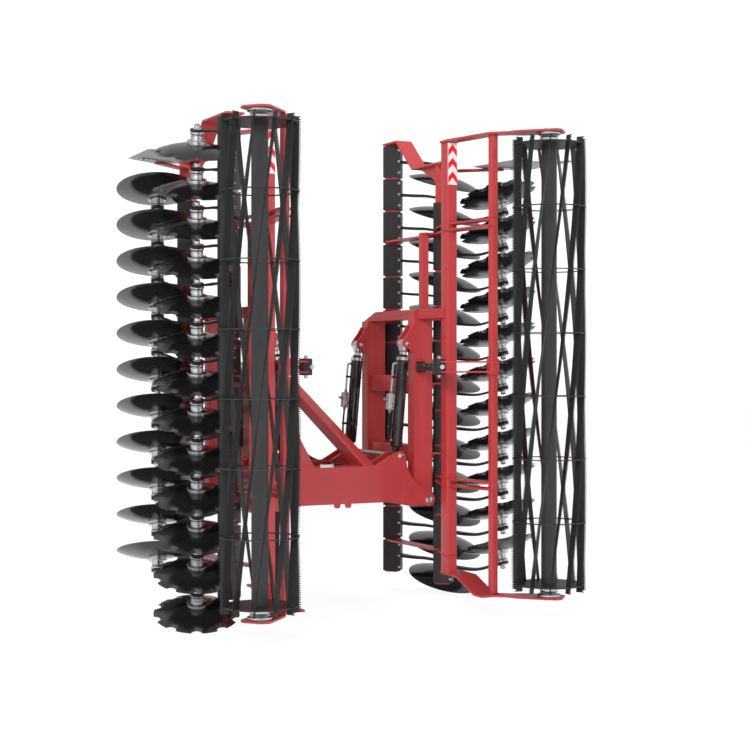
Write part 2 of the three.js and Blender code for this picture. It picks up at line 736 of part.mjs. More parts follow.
function centreSolid() {
  const parts = [];
  const boxes = [];
  for (const y of [rearPlaneY, frontPlaneY]) {
    parts.push(crossPlate(y - plateGap - sidePlate, y - plateGap));
    parts.push(crossPlate(y + plateGap, y + plateGap + sidePlate));
    boxes.push([y - plateGap, y + plateGap]);
  }
  for (const [y0, y1] of boxes)
    parts.push(box(-centreBoxHalf, centreBoxHalf, y0, y1, centreBoxBottom, centreBoxTop));
  const hole = basePinRadius + pinGap;
  for (const side of [-1, 1]) {
    const x = side * railX;
    parts.push(
      box(
        x - railWidth / 2,
        x + railWidth / 2,
        rearPlaneY,
        hitchY,
        centreBoxBottom + railInset[0],
        centreBoxTop - railInset[1],
      ),
    );
  }

  // headstock: cross tube, link brackets, mast and the struts back to the rear plates
  const tube = hitchTubeSide / 2;
  const tubeReach = lowerLinkHalf + linkCheekGap + linkCheek;
  parts.push(
    box(-tubeReach, tubeReach, hitchY - tube, hitchY + tube, hitchTubeZ - tube, hitchTubeZ + tube),
  );
  const cheek = [
    [hitchY, hitchTubeZ + tube],
    [hitchY + tube + 30, hitchTubeZ + tube],
    [hitchY + tube + 110, lowerLinkZ + 45],
    [hitchY + tube + 110, lowerLinkZ - 45],
    [hitchY + tube + 70, lowerLinkZ - 75],
    [hitchY, hitchTubeZ - tube - 30],
  ];
  for (const side of [-1, 1])
    for (const offset of [-1, 1]) {
      const middle = side * lowerLinkHalf + offset * (linkCheekGap + linkCheek / 2);
      parts.push(extruded(cheek, "x", middle - linkCheek / 2, middle + linkCheek / 2));
    }
  const topZ = lowerLinkZ + mastHeight;
  const mast = [
    [hitchY - 60, hitchTubeZ],
    [hitchY + 60, hitchTubeZ],
    [hitchY + 150, topZ - 50],
    [hitchY + 150, topZ + 30],
    [hitchY + 100, topZ + 60],
    [hitchY, topZ + 60],
    [hitchY - 60, topZ],
  ];
  for (const side of [-1, 1]) {
    const middle = side * (mastHalf + linkCheek / 2);
    parts.push(extruded(mast, "x", middle - linkCheek / 2, middle + linkCheek / 2));
  }
  parts.push(box(-mastHalf - 10, mastHalf + 10, hitchY - 40, hitchY + 20, topZ - 60, topZ + 30));
  for (const side of [-1, 1]) {
    const foot = [side * strutHalf, rearPlaneY, centrePlateTop - strutFoot];
    const head = [side * (mastHalf + strutHead), hitchY, topZ];
    parts.push(squareBar(foot, head, strutSide));
  }

  // stop and lugs for the parking stand
  const lugIn = standTube / 2 + standGap;
  const lugOut = lugIn + linkCheek;
  const lug = [
    [hitchY - tube, hitchTubeZ - tube + 20],
    [standPivotY + 45, hitchTubeZ - tube + 20],
    [standPivotY + 45, standPivotZ - 5],
    [standPivotY + 20, standPivotZ - 38],
    [standPivotY - 20, standPivotZ - 38],
    [standPivotY - 38, standPivotZ],
  ];
  for (const side of [-1, 1]) {
    const [from, to] = side > 0 ? [lugIn, lugOut] : [-lugOut, -lugIn];
    parts.push(extruded(lug, "x", from, to));
  }
  const body = join(parts);

  // pins that the wings turn on, and the holes for the cylinders' pins
  const reach = plateGap + sidePlate + pivotPinReach;
  const pins = [];
  const holes = [];
  for (const side of [-1, 1]) {
    const x = side * pivotX;
    for (const y of [rearPlaneY, frontPlaneY])
      pins.push(bar([x, y - reach, pivotZ], [x, y + reach, pivotZ], pivotPinRadius, 16));
    const cut = side * cylinderBaseX;
    const rear = [cut, rearPlaneY - reach - 5, cylinderBaseZ];
    const front = [cut, frontPlaneY + reach + 5, cylinderBaseZ];
    holes.push(bar(rear, front, hole, 12));
  }
  const standPin = alongX(lugOut, standPivotY, standPivotZ, standPinRadius);
  return join([body.subtract(join(holes)), ...pins, standPin]);
}

// Parking stand, a square tube that turns on its pin under the cross tube.
function standSolid() {
  const half = standTube / 2;
  const direction = new THREE.Vector2(standLean, -standPivotZ).normalize();
  const top = [standPivotY - direction.x * standHead, standPivotZ - direction.y * standHead];
  const bottom = [standPivotY + standLean, footThickness - 2];
  const leg = extruded(band([top, bottom], standTube), "x", -half, half);
  const footY = standPivotY + standLean;
  const foot = box(
    -footSide / 2,
    footSide / 2,
    footY - footSide / 2,
    footY + footSide / 2,
    0,
    footThickness,
  );
  const clear = box(-half - 1, half + 1, footY - footSide, footY + footSide, -60, 0);
  const hole = alongX(half + 5, standPivotY, standPivotZ, standPinRadius + pinGap);
  return join([leg, foot]).subtract(clear).subtract(hole);
}

// One wing with its roller, its fold cylinders and the discs of its two rows.
function addWing(group, side, frontCount, rearCount, frontUp) {
  const isRight = side === "right";
  const turned = (solid) => (isRight ? solid : mirrored(solid));
  const frame = turned(wingSolid(frontCount, rearCount, frontUp));
  group.add(meshOf(side + "_wing_frame", frame, redPaint));
  const rollerMesh = meshOf(side + "_roller", rollerSolid(), blackPaint);
  rollerMesh.position.set(isRight ? rollerX : -rollerX, rollerY, 0);
  group.add(rollerMesh);
  group.add(meshOf(side + "_fold_cylinders", turned(barrelSolid()), blackPaint));
  for (const [row, y] of [
    ["rear", rearPlaneY],
    ["front", frontPlaneY],
  ])
    group.add(meshOf(side + "_" + row + "_cylinder_rod", turned(rodSolid(y)), brightSteel));
  for (const [row, isFront, count, up] of [
    ["front", true, frontCount, frontUp],
    ["rear", false, rearCount, -frontUp],
  ]) {
    // plain discs in front and notched discs behind, on both wings
    const geometry = geometryOf(discGeometry(row === "rear"));
    rowSpots(isFront, count).forEach((spot, i) => {
      const facing = discFacing(up);
      const start = spot.clone().addScaledVector(facing, armBossRise);
      if (!isRight) {
        facing.x = -facing.x;
        start.x = -start.x;
      }
      const disc = new THREE.Mesh(geometry, discSteel);
      disc.name = side + "_" + row + "_disc_" + String(i + 1).padStart(2, "0");
      disc.position.copy(start);
      disc.quaternion.setFromUnitVectors(new THREE.Vector3(0, 1, 0), facing.normalize());
      group.add(disc);
    });
  }
}

const group = new THREE.Group();
group.add(meshOf("centre_frame", centreSolid(), redPaint));
addWing(group, "left", shortRow, longRow, 1);
addWing(group, "right", longRow, shortRow, -1);
group.add(meshOf("parking_stand", standSolid(), blackPaint));

// stand the machine over the origin
const bounds = new THREE.Box3().setFromObject(group, true);
group.position.y = -(bounds.min.y + bounds.max.y) / 2;

export default group;
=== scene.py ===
# Folding disc harrow parked with both wings up: its looks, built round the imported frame.
# Metres, +X to the machine's right, +Y forward to the tractor, +Z up.
import json
import math

import bpy
import numpy as np
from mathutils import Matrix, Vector


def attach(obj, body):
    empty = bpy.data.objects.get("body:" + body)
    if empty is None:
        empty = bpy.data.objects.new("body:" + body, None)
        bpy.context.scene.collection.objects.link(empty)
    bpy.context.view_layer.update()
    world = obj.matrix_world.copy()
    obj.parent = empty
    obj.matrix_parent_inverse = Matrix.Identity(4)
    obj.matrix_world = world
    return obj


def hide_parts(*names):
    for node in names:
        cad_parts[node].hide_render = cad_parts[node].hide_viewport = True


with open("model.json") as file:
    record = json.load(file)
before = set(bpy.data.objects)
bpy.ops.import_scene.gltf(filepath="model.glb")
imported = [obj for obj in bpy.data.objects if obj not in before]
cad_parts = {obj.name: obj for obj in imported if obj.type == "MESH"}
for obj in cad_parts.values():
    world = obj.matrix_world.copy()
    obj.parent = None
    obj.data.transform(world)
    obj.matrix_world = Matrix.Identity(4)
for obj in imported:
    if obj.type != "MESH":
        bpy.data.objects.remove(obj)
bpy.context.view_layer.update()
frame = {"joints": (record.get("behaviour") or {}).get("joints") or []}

jointAt = {j["name"]: j for j in frame["joints"]}

# Shapes are drawn with the rear fold plane at Y = rearPlane, and makePiece moves them into the frame.
rearPlane, frontPlane = 0.250, 0.980
drawingShift = np.array([0.0, jointAt["right_fold"]["pos_m"][1] - rearPlane, 0.0])


# From here to makePiece: outlines and paths to shapes, with points and faces as whole arrays.

def unit(vector):
    # each vector over its own length
    vector = np.asarray(vector, float)
    return vector / np.linalg.norm(vector, axis=-1, keepdims=True)


def shapeOf(points, faces, finish=0, along=None):
    # points (n, 3), faces a list of index arrays with one row a face; along is a length kept for patterns
    points = np.asarray(points, float).reshape(-1, 3)
    sizes = np.concatenate([np.full(len(f), f.shape[1]) for f in faces])
    return {"points": points, "loops": np.concatenate([f.ravel() for f in faces]), "sizes": sizes,
            "finish": np.full(len(sizes), finish),
            "along": np.zeros(len(points)) if along is None else np.asarray(along, float)}


def joined(shapes):
    # many shapes as one, each one's point numbers raised by the count of the points before it
    shift = np.cumsum([0] + [len(s["points"]) for s in shapes[:-1]])
    whole = {key: np.concatenate([s[key] for s in shapes]) for key in ("points", "sizes", "finish", "along")}
    whole["loops"] = np.concatenate([s["loops"] + k for s, k in zip(shapes, shift)])
    return whole


def skin(rings, finish=0, along=None, ringLoop=False):
    # rings (rows, columns, 3), each running counter-clockwise seen from the last row's side.
    # Quads join row to row and column to column; the end rings are capped with one flat face each, or joined.
    rings = np.asarray(rings, float)
    rows, columns = rings.shape[:2]
    row, column = np.meshgrid(np.arange(rows if ringLoop else rows - 1), np.arange(columns), indexing="ij")
    nextColumn, nextRow = (column + 1) % columns, (row + 1) % rows
    corners = (row * columns + column, row * columns + nextColumn,
               nextRow * columns + nextColumn, nextRow * columns + column)
    faces = [np.stack(corners, -1).reshape(-1, 4)]
    if not ringLoop:
        first = np.arange(columns)
        faces += [first[None, ::-1], (first + (rows - 1) * columns)[None]]
    alongAll = None if along is None else np.repeat(np.asarray(along, float), columns)
    return shapeOf(rings, faces, finish, alongAll)


def counterClockwise(outline):
    # turned round where its signed area, the sum of x dy - y dx, comes out negative
    outline = np.asarray(outline, float)
    x, y = outline.T
    area = np.sum(x * np.roll(y, -1) - np.roll(x, -1) * y)
    return outline if area > 0 else outline[::-1]


def inset(outline, distance):
    # each corner moves along the sum of its two edges' inward normals, so that both edges move by distance
    before, after = unit(outline - np.roll(outline, 1, 0)), unit(np.roll(outline, -1, 0) - outline)
    normalBefore, normalAfter = (np.stack([-e[:, 1], e[:, 0]], -1) for e in (before, after))
    share = 1 + np.sum(normalBefore * normalAfter, -1, keepdims=True)
    return outline + distance * (normalBefore + normalAfter) / np.maximum(share, 0.35)


def rounded(outline, radius, steps=4):
    # every corner becomes a circular arc: a rational quadratic curve, its middle weight sin(half the corner)
    outline = np.asarray(outline, float)
    toBefore, toAfter = np.roll(outline, 1, 0) - outline, np.roll(outline, -1, 0) - outline
    lengths = np.minimum(np.linalg.norm(toBefore, axis=1), np.linalg.norm(toAfter, axis=1))
    toBefore, toAfter = unit(toBefore), unit(toAfter)
    half = np.arccos(np.clip(np.sum(toBefore * toAfter, -1), -0.99999, 0.99999)) / 2
    reach = np.minimum(np.broadcast_to(radius, half.shape) / np.tan(half), 0.45 * lengths)[:, None]
    start, end = outline + toBefore * reach, outline + toAfter * reach
    s = np.linspace(0, 1, steps + 1)[None, :, None]
    weight = 2 * s * (1 - s) * np.sin(half)[:, None, None]
    curve = (1 - s) ** 2 * start[:, None] + weight * outline[:, None] + s**2 * end[:, None]
    return (curve / ((1 - s) ** 2 + weight + s**2)).reshape(-1, 2)


def band(path, width):
    # the outline of a strip along a path, mitred at its corners; width may change along it
    path = np.asarray(path, float)
    steps = unit(np.diff(path, axis=0))
    before, after = np.vstack([steps[:1], steps]), np.vstack([steps, steps[-1:]])
    tangent = unit(before + after)
    normal = np.stack([-tangent[:, 1], tangent[:, 0]], -1)
    square = np.stack([-before[:, 1], before[:, 0]], -1)
    reach = (np.broadcast_to(width, len(path)) / 2 / np.sum(normal * square, -1))[:, None]
    return np.vstack([path - reach * normal, (path + reach * normal)[::-1]])


def prism(outline, low, high, bevel=0.002, finish=0):
    # an outline carried straight up from low to high, both rims chamfered by bevel
    outline = counterClockwise(outline)
    inner = inset(outline, bevel)
    levels = [(inner, low), (outline, low + bevel), (outline, high - bevel), (inner, high)]
    rings = np.stack([np.column_stack([ring, np.full(len(ring), z)]) for ring, z in levels])
    return skin(rings, finish)


def turned(shape, origin=(0, 0, 0), up=(0, 0, 1), side=None):
    # the shape's own z goes to up and its own x as near as it can to side
    up = unit(up)
    if side is None:
        side = (1, 0, 0) if abs(up[0]) < 0.9 else (0, 1, 0)
    across = unit(np.cross(up, side))
    basis = np.stack([np.cross(across, up), across, up])
    return {**shape, "points": shape["points"] @ basis + np.asarray(origin, float)}


def moved(shape, x=0.0, y=0.0, z=0.0):
    return {**shape, "points": shape["points"] + np.array([x, y, z])}


def flipped(shape):
    # the mirror image in the plane X = 0, with every face's corners in the other order
    whole = {**shape, "points": shape["points"] * [-1, 1, 1]}
    return {**whole, **{key: shape[key][::-1] for key in ("loops", "sizes", "finish")}}


def copied(shape, places):
    return joined([moved(shape, *place) for place in places])


def plateAlongX(outline, low, high, bevel=0.002, finish=0):
    # an outline of (y, z) carried along x
    return turned(prism(outline, low, high, bevel, finish), up=(1, 0, 0), side=(0, 1, 0))


def plateAlongY(outline, low, high, bevel=0.002, finish=0):
    # an outline of (x, z) carried along y
    mirroredOutline = np.asarray(outline, float) * [-1, 1]
    return turned(prism(mirroredOutline, low, high, bevel, finish), up=(0, 1, 0), side=(-1, 0, 0))


def lathe(profile, sides=24, finish=0):
    # a profile of (radius, height), from the bottom up its outer side, carried round the z axis
    radius, height = np.asarray(profile, float).T
    turn = np.linspace(0, 2 * math.pi, sides, endpoint=False)
    rings = np.stack([np.outer(radius, np.cos(turn)), np.outer(radius, np.sin(turn)),
                      np.repeat(height[:, None], sides, 1)], -1)
    length = np.concatenate([[0], np.cumsum(np.hypot(np.diff(radius), np.diff(height)))])
    return skin(rings, finish, length)


def rod(start, end, radius, sides=20, bevel=0.0015, finish=0):
    # a round bar from point to point with chamfered ends
    start, end = np.asarray(start, float), np.asarray(end, float)
    length = np.linalg.norm(end - start)
    profile = [(radius - bevel, 0), (radius, bevel), (radius, length - bevel), (radius - bevel, length)]
    return turned(lathe(profile, sides, finish), start, end - start)


def squareBar(start, end, side, corner=0.008, bevel=0.002):
    # a rounded square carried from point to point
    start, end = np.asarray(start, float), np.asarray(end, float)
    outline = rounded(rectangle(side, side), corner, 3)
    shape = prism(outline, 0, np.linalg.norm(end - start), bevel)
    return turned(shape, start, end - start, side=(1, 0, 0))


def rectangle(width, depth, x=0.0, y=0.0):
    # four corners, half the width and half the depth either side of (x, y)
    return np.array([[-width, -depth], [width, -depth], [width, depth], [-width, depth]]) / 2 + [x, y]


def pipe(points, radius, sides=12, finish=0):
    # a round section carried along a smooth curve through the points (Catmull-Rom, 8 steps from point to
    # point), on frames that never twist
    points = np.asarray(points, float)
    padded = np.vstack([2 * points[0] - points[1], points, 2 * points[-1] - points[-2]])
    s = np.linspace(0, 1, 8, endpoint=False)[None, :, None]
    a, b, c, d = (padded[k:len(padded) - 3 + k][:, None] for k in range(4))
    curve = 0.5 * (2 * b + (c - a) * s + (2 * a - 5 * b + 4 * c - d) * s**2 + (3 * b - a - 3 * c + d) * s**3)
    line = np.vstack([curve.reshape(-1, 3), points[-1:]])
    tangent = unit(np.gradient(line, axis=0))
    flat = unit(np.cross(tangent, unit(line[-1] - line[0]) + [0.013, 0.31, 0.17]))
    other = np.cross(tangent, flat)
    turn = np.linspace(0, 2 * math.pi, sides, endpoint=False)[None, :, None]
    rings = line[:, None] + radius * (np.cos(turn) * flat[:, None] + np.sin(turn) * other[:, None])
    length = np.concatenate([[0], np.cumsum(np.linalg.norm(np.diff(line, axis=0), axis=1))])
    return skin(rings, finish, length)


def circle(radius, sides, x=0.0, y=0.0, start=0.0):
    # points at equal turns: (radius cos turn + x, radius sin turn + y)
    turn = start + np.linspace(0, 2 * math.pi, sides, endpoint=False)
    return np.stack([radius * np.cos(turn) + x, radius * np.sin(turn) + y], -1)


def hexBolt(size=0.010, finish=0, stub=0.0):
    # a washer with a chamfered hexagon head on it, lying on z = 0; stub lets the thread show past the nut
    washer = lathe([(size * 1.05, 0), (size * 1.1, size * 0.05), (size * 1.1, size * 0.2),
                    (size * 1.02, size * 0.25)], 14, finish)
    head = prism(circle(size * 0.95, 6), size * 0.25, size * 0.95, size * 0.12, finish)
    parts = [washer, head]
    if stub:
        parts.append(lathe([(size * 0.5, size * 0.9), (size * 0.5, size * 0.95 + stub * 0.8),
                            (size * 0.42, size * 0.95 + stub)], 10, finish))
    return joined(parts)


def weldBead(outline, z, size=0.006, up=1):
    # a fillet round a section where it stands on a plate: the outline grown by size, drawn in to itself
    outline = counterClockwise(outline)
    grown, close = inset(outline, -size), inset(outline, 0.001)
    rings = [np.column_stack([ring, np.full(len(ring), level)])
             for ring, level in ((grown, z), (close, z + up * size))]
    return skin(np.stack(rings if up > 0 else rings[::-1]))


def makePiece(name, shapes, finishes, body, replaces=(), side="right"):
    # shapes into one mesh, smooth but for edges over 33 degrees; the left side is the mirror image
    whole = joined(shapes)
    if side == "left":
        whole = flipped(whole)
    mesh = bpy.data.meshes.new(name)
    points = whole["points"] + drawingShift
    mesh.vertices.add(len(points))
    mesh.vertices.foreach_set("co", points.astype(np.float32).ravel())
    mesh.loops.add(len(whole["loops"]))
    mesh.loops.foreach_set("vertex_index", whole["loops"].astype(np.int32))
    mesh.polygons.add(len(whole["sizes"]))
    starts = np.concatenate([[0], np.cumsum(whole["sizes"])[:-1]]).astype(np.int32)
    mesh.polygons.foreach_set("loop_start", starts)
    mesh.polygons.foreach_set("material_index", whole["finish"].astype(np.int32))
    mesh.polygons.foreach_set("use_smooth", np.ones(len(starts), bool))
    along = mesh.attributes.new("alongProfile", "FLOAT", "POINT")
    along.data.foreach_set("value", whole["along"].astype(np.float32))
    mesh.update(calc_edges=True)
    mesh.validate()
    mesh.set_sharp_from_angle(angle=math.radians(33))
    for finish in finishes:
        mesh.materials.append(finish)
    piece = bpy.data.objects.new(name, mesh)
    bpy.context.scene.collection.objects.link(piece)
    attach(piece, body)
    if replaces:
        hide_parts(*replaces)


def addNode(tree, kind, inputs=None, **settings):
    # an input is either a socket to link from or a fixed value
    node = tree.nodes.new("ShaderNode" + kind)
    for key, value in settings.items():
        setattr(node, key, value)
    for key, value in (inputs or {}).items():
        if isinstance(value, bpy.types.NodeSocket):
            tree.links.new(value, node.inputs[key])
        else:
            node.inputs[key].default_value = value
    return node


def math2(tree, operation, first, second=0.0, third=0.0):
    return addNode(tree, "Math", {0: first, 1: second, 2: third}, operation=operation).outputs[0]


def newGroup(name, inputs, outputs):
    # an empty node group with its sockets, made by interface.new_socket
    group = bpy.data.node_groups.new(name, "ShaderNodeTree")
    for label, value in inputs:
        kind = "NodeSocketColor" if isinstance(value, tuple) else "NodeSocketFloat"
        group.interface.new_socket(label, in_out="INPUT", socket_type=kind).default_value = value
    for label, kind in outputs:
        group.interface.new_socket(label, in_out="OUTPUT", socket_type=kind)
    return group, group.nodes.new("NodeGroupInput"), group.nodes.new("NodeGroupOutput")


finishOutputs = [("Color", "NodeSocketColor"), ("Roughness", "NodeSocketFloat"),
                 ("Height", "NodeSocketFloat")]
finishInputs = [("Base", (0.5, 0.5, 0.5, 1.0)), ("Roughness", 0.4), ("Spread", 0.06), ("Grain", 900.0)]


def coatedGroup():
    # colour = base x (1 + spread x slow noise), roughness = given + spread x noise, height = fine orange peel
    group, given, out = newGroup("coated", finishInputs, finishOutputs)
    place = addNode(group, "TexCoord").outputs["Object"]
    slow = addNode(group, "TexNoise", {"Vector": place, "Scale": 3.5, "Detail": 4.0}).outputs["Fac"]
    fine = addNode(group, "TexNoise", {"Vector": place, "Scale": given.outputs["Grain"],
                                       "Detail": 2.0}).outputs["Fac"]
    middle = math2(group, "SUBTRACT", slow, 0.5)
    value = math2(group, "MULTIPLY_ADD", middle, given.outputs["Spread"], 1.0)
    tone = addNode(group, "HueSaturation", {"Color": given.outputs["Base"], "Value": value}).outputs[0]
    group.links.new(tone, out.inputs["Color"])
    rough = math2(group, "MULTIPLY_ADD", middle, given.outputs["Spread"], given.outputs["Roughness"])
    group.links.new(rough, out.inputs["Roughness"])
    group.links.new(fine, out.inputs["Height"])
    return group


def turnedGroup():
    # height = sine rings along the piece's own profile, and the tone follows a coarser set of the same rings
    group, given, out = newGroup("turnedRings", finishInputs, finishOutputs)
    along = addNode(group, "Attribute", attribute_name="alongProfile").outputs["Fac"]
    place = addNode(group, "TexCoord").outputs["Object"]
    cloud = addNode(group, "TexNoise", {"Vector": place, "Scale": 9.0, "Detail": 5.0}).outputs["Fac"]
    rings = math2(group, "SINE", math2(group, "MULTIPLY", along, given.outputs["Grain"]))
    coarse = addNode(group, "TexNoise", {"W": math2(group, "MULTIPLY", along, 90.0), "Scale": 1.0},
                     noise_dimensions="1D").outputs["Fac"]
    mixed = math2(group, "SUBTRACT", math2(group, "ADD", cloud, coarse), 1.0)
    value = math2(group, "MULTIPLY_ADD", mixed, given.outputs["Spread"], 1.0)
    tone = addNode(group, "HueSaturation", {"Color": given.outputs["Base"], "Value": value}).outputs[0]
    group.links.new(tone, out.inputs["Color"])
    rough = math2(group, "MULTIPLY_ADD", mixed, given.outputs["Spread"], given.outputs["Roughness"])
    group.links.new(rough, out.inputs["Roughness"])
    group.links.new(rings, out.inputs["Height"])
    return group


def spangledGroup():
    # zinc: each cell of a Voronoi pattern takes its own tone and roughness, height = the cells' edges
    group, given, out = newGroup("spangled", finishInputs, finishOutputs)
    place = addNode(group, "TexCoord").outputs["Object"]
    cells = addNode(group, "TexVoronoi", {"Vector": place, "Scale": given.outputs["Grain"]})
    grey = addNode(group, "RGBToBW", {"Color": cells.outputs["Color"]}).outputs[0]
    middle = math2(group, "SUBTRACT", grey, 0.5)
    value = math2(group, "MULTIPLY_ADD", middle, given.outputs["Spread"], 1.0)
    tone = addNode(group, "HueSaturation", {"Color": given.outputs["Base"], "Value": value}).outputs[0]
    group.links.new(tone, out.inputs["Color"])
    rough = math2(group, "MULTIPLY_ADD", middle, given.outputs["Spread"], given.outputs["Roughness"])
    group.links.new(rough, out.inputs["Roughness"])
    group.links.new(cells.outputs["Distance"], out.inputs["Height"])
    return group


coated, turnedRings, spangled = coatedGroup(), turnedGroup(), spangledGroup()


def newFinish(name, group, base, roughness, metallic=0.0, coat=0.0, spread=0.06, grain=900.0, bump=0.05):
    # one pattern group drives colour and roughness, and its height goes through a bump
    finish = bpy.data.materials.new(name)
    finish.use_nodes = True
    tree = finish.node_tree
    shader = tree.nodes["Principled BSDF"]
    pattern = addNode(tree, "Group", node_tree=group)
    for label, value in (("Base", (*base, 1.0)), ("Roughness", roughness), ("Spread", spread),
                         ("Grain", grain)):
        pattern.inputs[label].default_value = value
    height = addNode(tree, "Bump", {"Strength": bump, "Distance": 0.0006,
                                    "Height": pattern.outputs["Height"]})
    tree.links.new(pattern.outputs["Color"], shader.inputs["Base Color"])
    tree.links.new(pattern.outputs["Roughness"], shader.inputs["Roughness"])
    tree.links.new(height.outputs[0], shader.inputs["Normal"])
    shader.inputs["Metallic"].default_value = metallic
    shader.inputs["Coat Weight"].default_value = coat
    return finish


redPaint = newFinish("redPaint", coated, (0.533, 0.046, 0.050), 0.36, coat=0.25, spread=0.05, grain=420.0,
                     bump=0.10)
charcoal = newFinish("charcoal", coated, (0.026, 0.026, 0.027), 0.42, spread=0.10, grain=520.0, bump=0.12)
castDark = newFinish("castDark", coated, (0.022, 0.022, 0.023), 0.34, 0.3, spread=0.15, grain=260.0,
                     bump=0.25)
rollerDark = newFinish("rollerDark", coated, (0.017, 0.017, 0.018), 0.42, spread=0.10, grain=380.0, bump=0.10)
bladeSteel = newFinish("bladeSteel", turnedRings, (0.135, 0.137, 0.141), 0.13, 0.95, spread=0.10,
                       grain=5200.0, bump=0.05)
hubSteel = newFinish("hubSteel", turnedRings, (0.74, 0.75, 0.76), 0.22, 1.0, spread=0.10, grain=7000.0,
                     bump=0.05)
boltZinc = newFinish("boltZinc", coated, (0.72, 0.72, 0.71), 0.26, 1.0, spread=0.12, grain=700.0, bump=0.08)
galvanised = newFinish("galvanised", spangled, (0.62, 0.63, 0.64), 0.34, 0.75, spread=0.22, grain=70.0,
                       bump=0.03)
barrelGloss = newFinish("barrelGloss", coated, (0.012, 0.012, 0.013), 0.14, coat=0.6, spread=0.04,
                        grain=300.0, bump=0.04)
chrome = newFinish("chrome", turnedRings, (0.82, 0.83, 0.84), 0.09, 1.0, spread=0.04, grain=3000.0, bump=0.02)
rubber = newFinish("rubber", coated, (0.014, 0.014, 0.014), 0.55, spread=0.15, grain=600.0, bump=0.20)
signWhite = newFinish("signWhite", coated, (0.84, 0.84, 0.84), 0.45, spread=0.03, grain=1200.0, bump=0.04)
signRed = newFinish("signRed", coated, (0.83, 0.010, 0.012), 0.40, spread=0.03, grain=1200.0, bump=0.04)
brassTone = newFinish("brassTone", coated, (0.36, 0.27, 0.12), 0.30, 1.0, spread=0.12, grain=700.0, bump=0.08)


# The rows: each arm reaches from its beam to the disc's boss; attack and undercut, in degrees, turn its axis.
rowCounts = {"right": {"front": 13, "rear": 11}, "left": {"front": 11, "rear": 13}}
shortRow, longRow = sorted(rowCounts["right"].values())
frontUp = {"right": -1, "left": 1}
arms = {"end": 1.164, "front": 0.742, "rear": -0.026, "pitch": 0.250, "attack": 17.5, "undercut": 5.0,
        "eyeRise": 0.030, "lowest": jointAt["right_front_disc_01_spin"]["pos_m"][2]}
disc = {"radius": 0.280, "dish": 0.062, "thickness": 0.0065, "seat": 0.118, "flat": 0.062, "land": 0.235,
        "edgeFrom": 0.262, "edge": 0.0002, "notches": 10, "notchRadius": 0.037, "notchCentre": 0.283,
        "boltCircle": 0.046, "rimGap": 0.0006, "seatGap": 0.0004}


def discAxis(up):
    # the machine's vertical, turned by the attack angle about X and by the undercut towards the arm
    attack, undercut = math.radians(arms["attack"]), math.radians(arms["undercut"])
    across = math.cos(undercut)
    return np.array([-math.sin(undercut), math.sin(attack) * across, up * math.cos(attack) * across])


def discShapes(notched):
    # dish: height = R - sqrt(R^2 - r^2), R being the sphere's radius; a notch is an arc round a point past
    # the rim; outside the land the rings draw in to the rim, and from edgeFrom out the back is ground thin
    radius, dish, land, edgeFrom = disc["radius"], disc["dish"], disc["land"], disc["edgeFrom"]
    dishRadius = (radius**2 + dish**2) / (2 * dish)
    rimRadius = radius - disc["rimGap"]  # keeps the rim inside the solid's
    if notched:
        scoop, centre, pitch = disc["notchRadius"], disc["notchCentre"], 2 * math.pi / disc["notches"]
        half = math.asin(scoop / centre)
        sector = np.concatenate([np.linspace(-half, half, 11), np.linspace(half, pitch - half, 5)[1:-1]])
        turn = (np.arange(disc["notches"])[:, None] * pitch + sector).ravel()
        away = (turn + half + 1e-9) % pitch - half
        inside = np.maximum(scoop**2 - (centre * np.sin(away)) ** 2, 0)
        rim = np.where(away < half + 1e-6, centre * np.cos(away) - np.sqrt(inside), radius)
        rim = np.minimum(rim, rimRadius)
    else:
        turn = np.linspace(0, 2 * math.pi, 72, endpoint=False)
        rim = np.full(len(turn), rimRadius)
    reach = np.array([0.030, 0.045, disc["flat"], 0.10, 0.14, 0.18, 0.21, land, 0.250, edgeFrom, 0.272,
                      radius])
    radii = np.concatenate([reach, reach[::-1]])
    back = np.repeat([0, 1], len(reach))
    spread = np.where(radii > land, (radii - land) / (radius - land), 0)[:, None]
    ringRadius = np.minimum(radii, land)[:, None] + spread * (rim - land)
    edge = np.clip((radii - edgeFrom) / (radius - edgeFrom), 0, 1)
    dished = np.maximum(ringRadius, np.maximum(radii, disc["flat"])[:, None])
    height = dishRadius - np.sqrt(dishRadius**2 - dished**2)
    thickness = back * (disc["thickness"] - (disc["thickness"] - disc["edge"]) * edge)
    height = height + thickness[:, None] + disc["seat"] - disc["seatGap"]
    rings = np.stack([ringRadius * np.cos(turn), ringRadius * np.sin(turn), height], -1)
    blade = skin(rings, 0, radii)
    hubLine = [(0.030, 0.0392), (0.044, 0.0394), (0.0465, 0.042), (0.0465, 0.050), (0.0415, 0.061),
               (0.036, 0.063), (0.036, 0.067), (0.041, 0.069), (0.041, 0.087), (0.037, 0.089),
               (0.037, 0.095), (0.050, 0.097), (0.062, 0.099), (0.065, 0.101), (0.065, 0.107),
               (0.062, 0.109), (0.056, 0.111), (0.056, 0.1165), (0.060, 0.1178), (0.060, 0.1200),
               (0.030, 0.1200)]
    crown = disc["seat"] + 0.009
    cap = lathe([(0.030, crown - 0.002), (0.030, crown + 0.006), (0.027, crown + 0.012),
                 (0.018, crown + 0.016), (0.006, crown + 0.0175)], 24, 1)
    bolts = copied(hexBolt(0.008, 1), [(x, y, crown) for x, y in circle(disc["boltCircle"], 5, start=0.3)])
    return [blade, lathe(hubLine, 32, 1), cap, bolts]


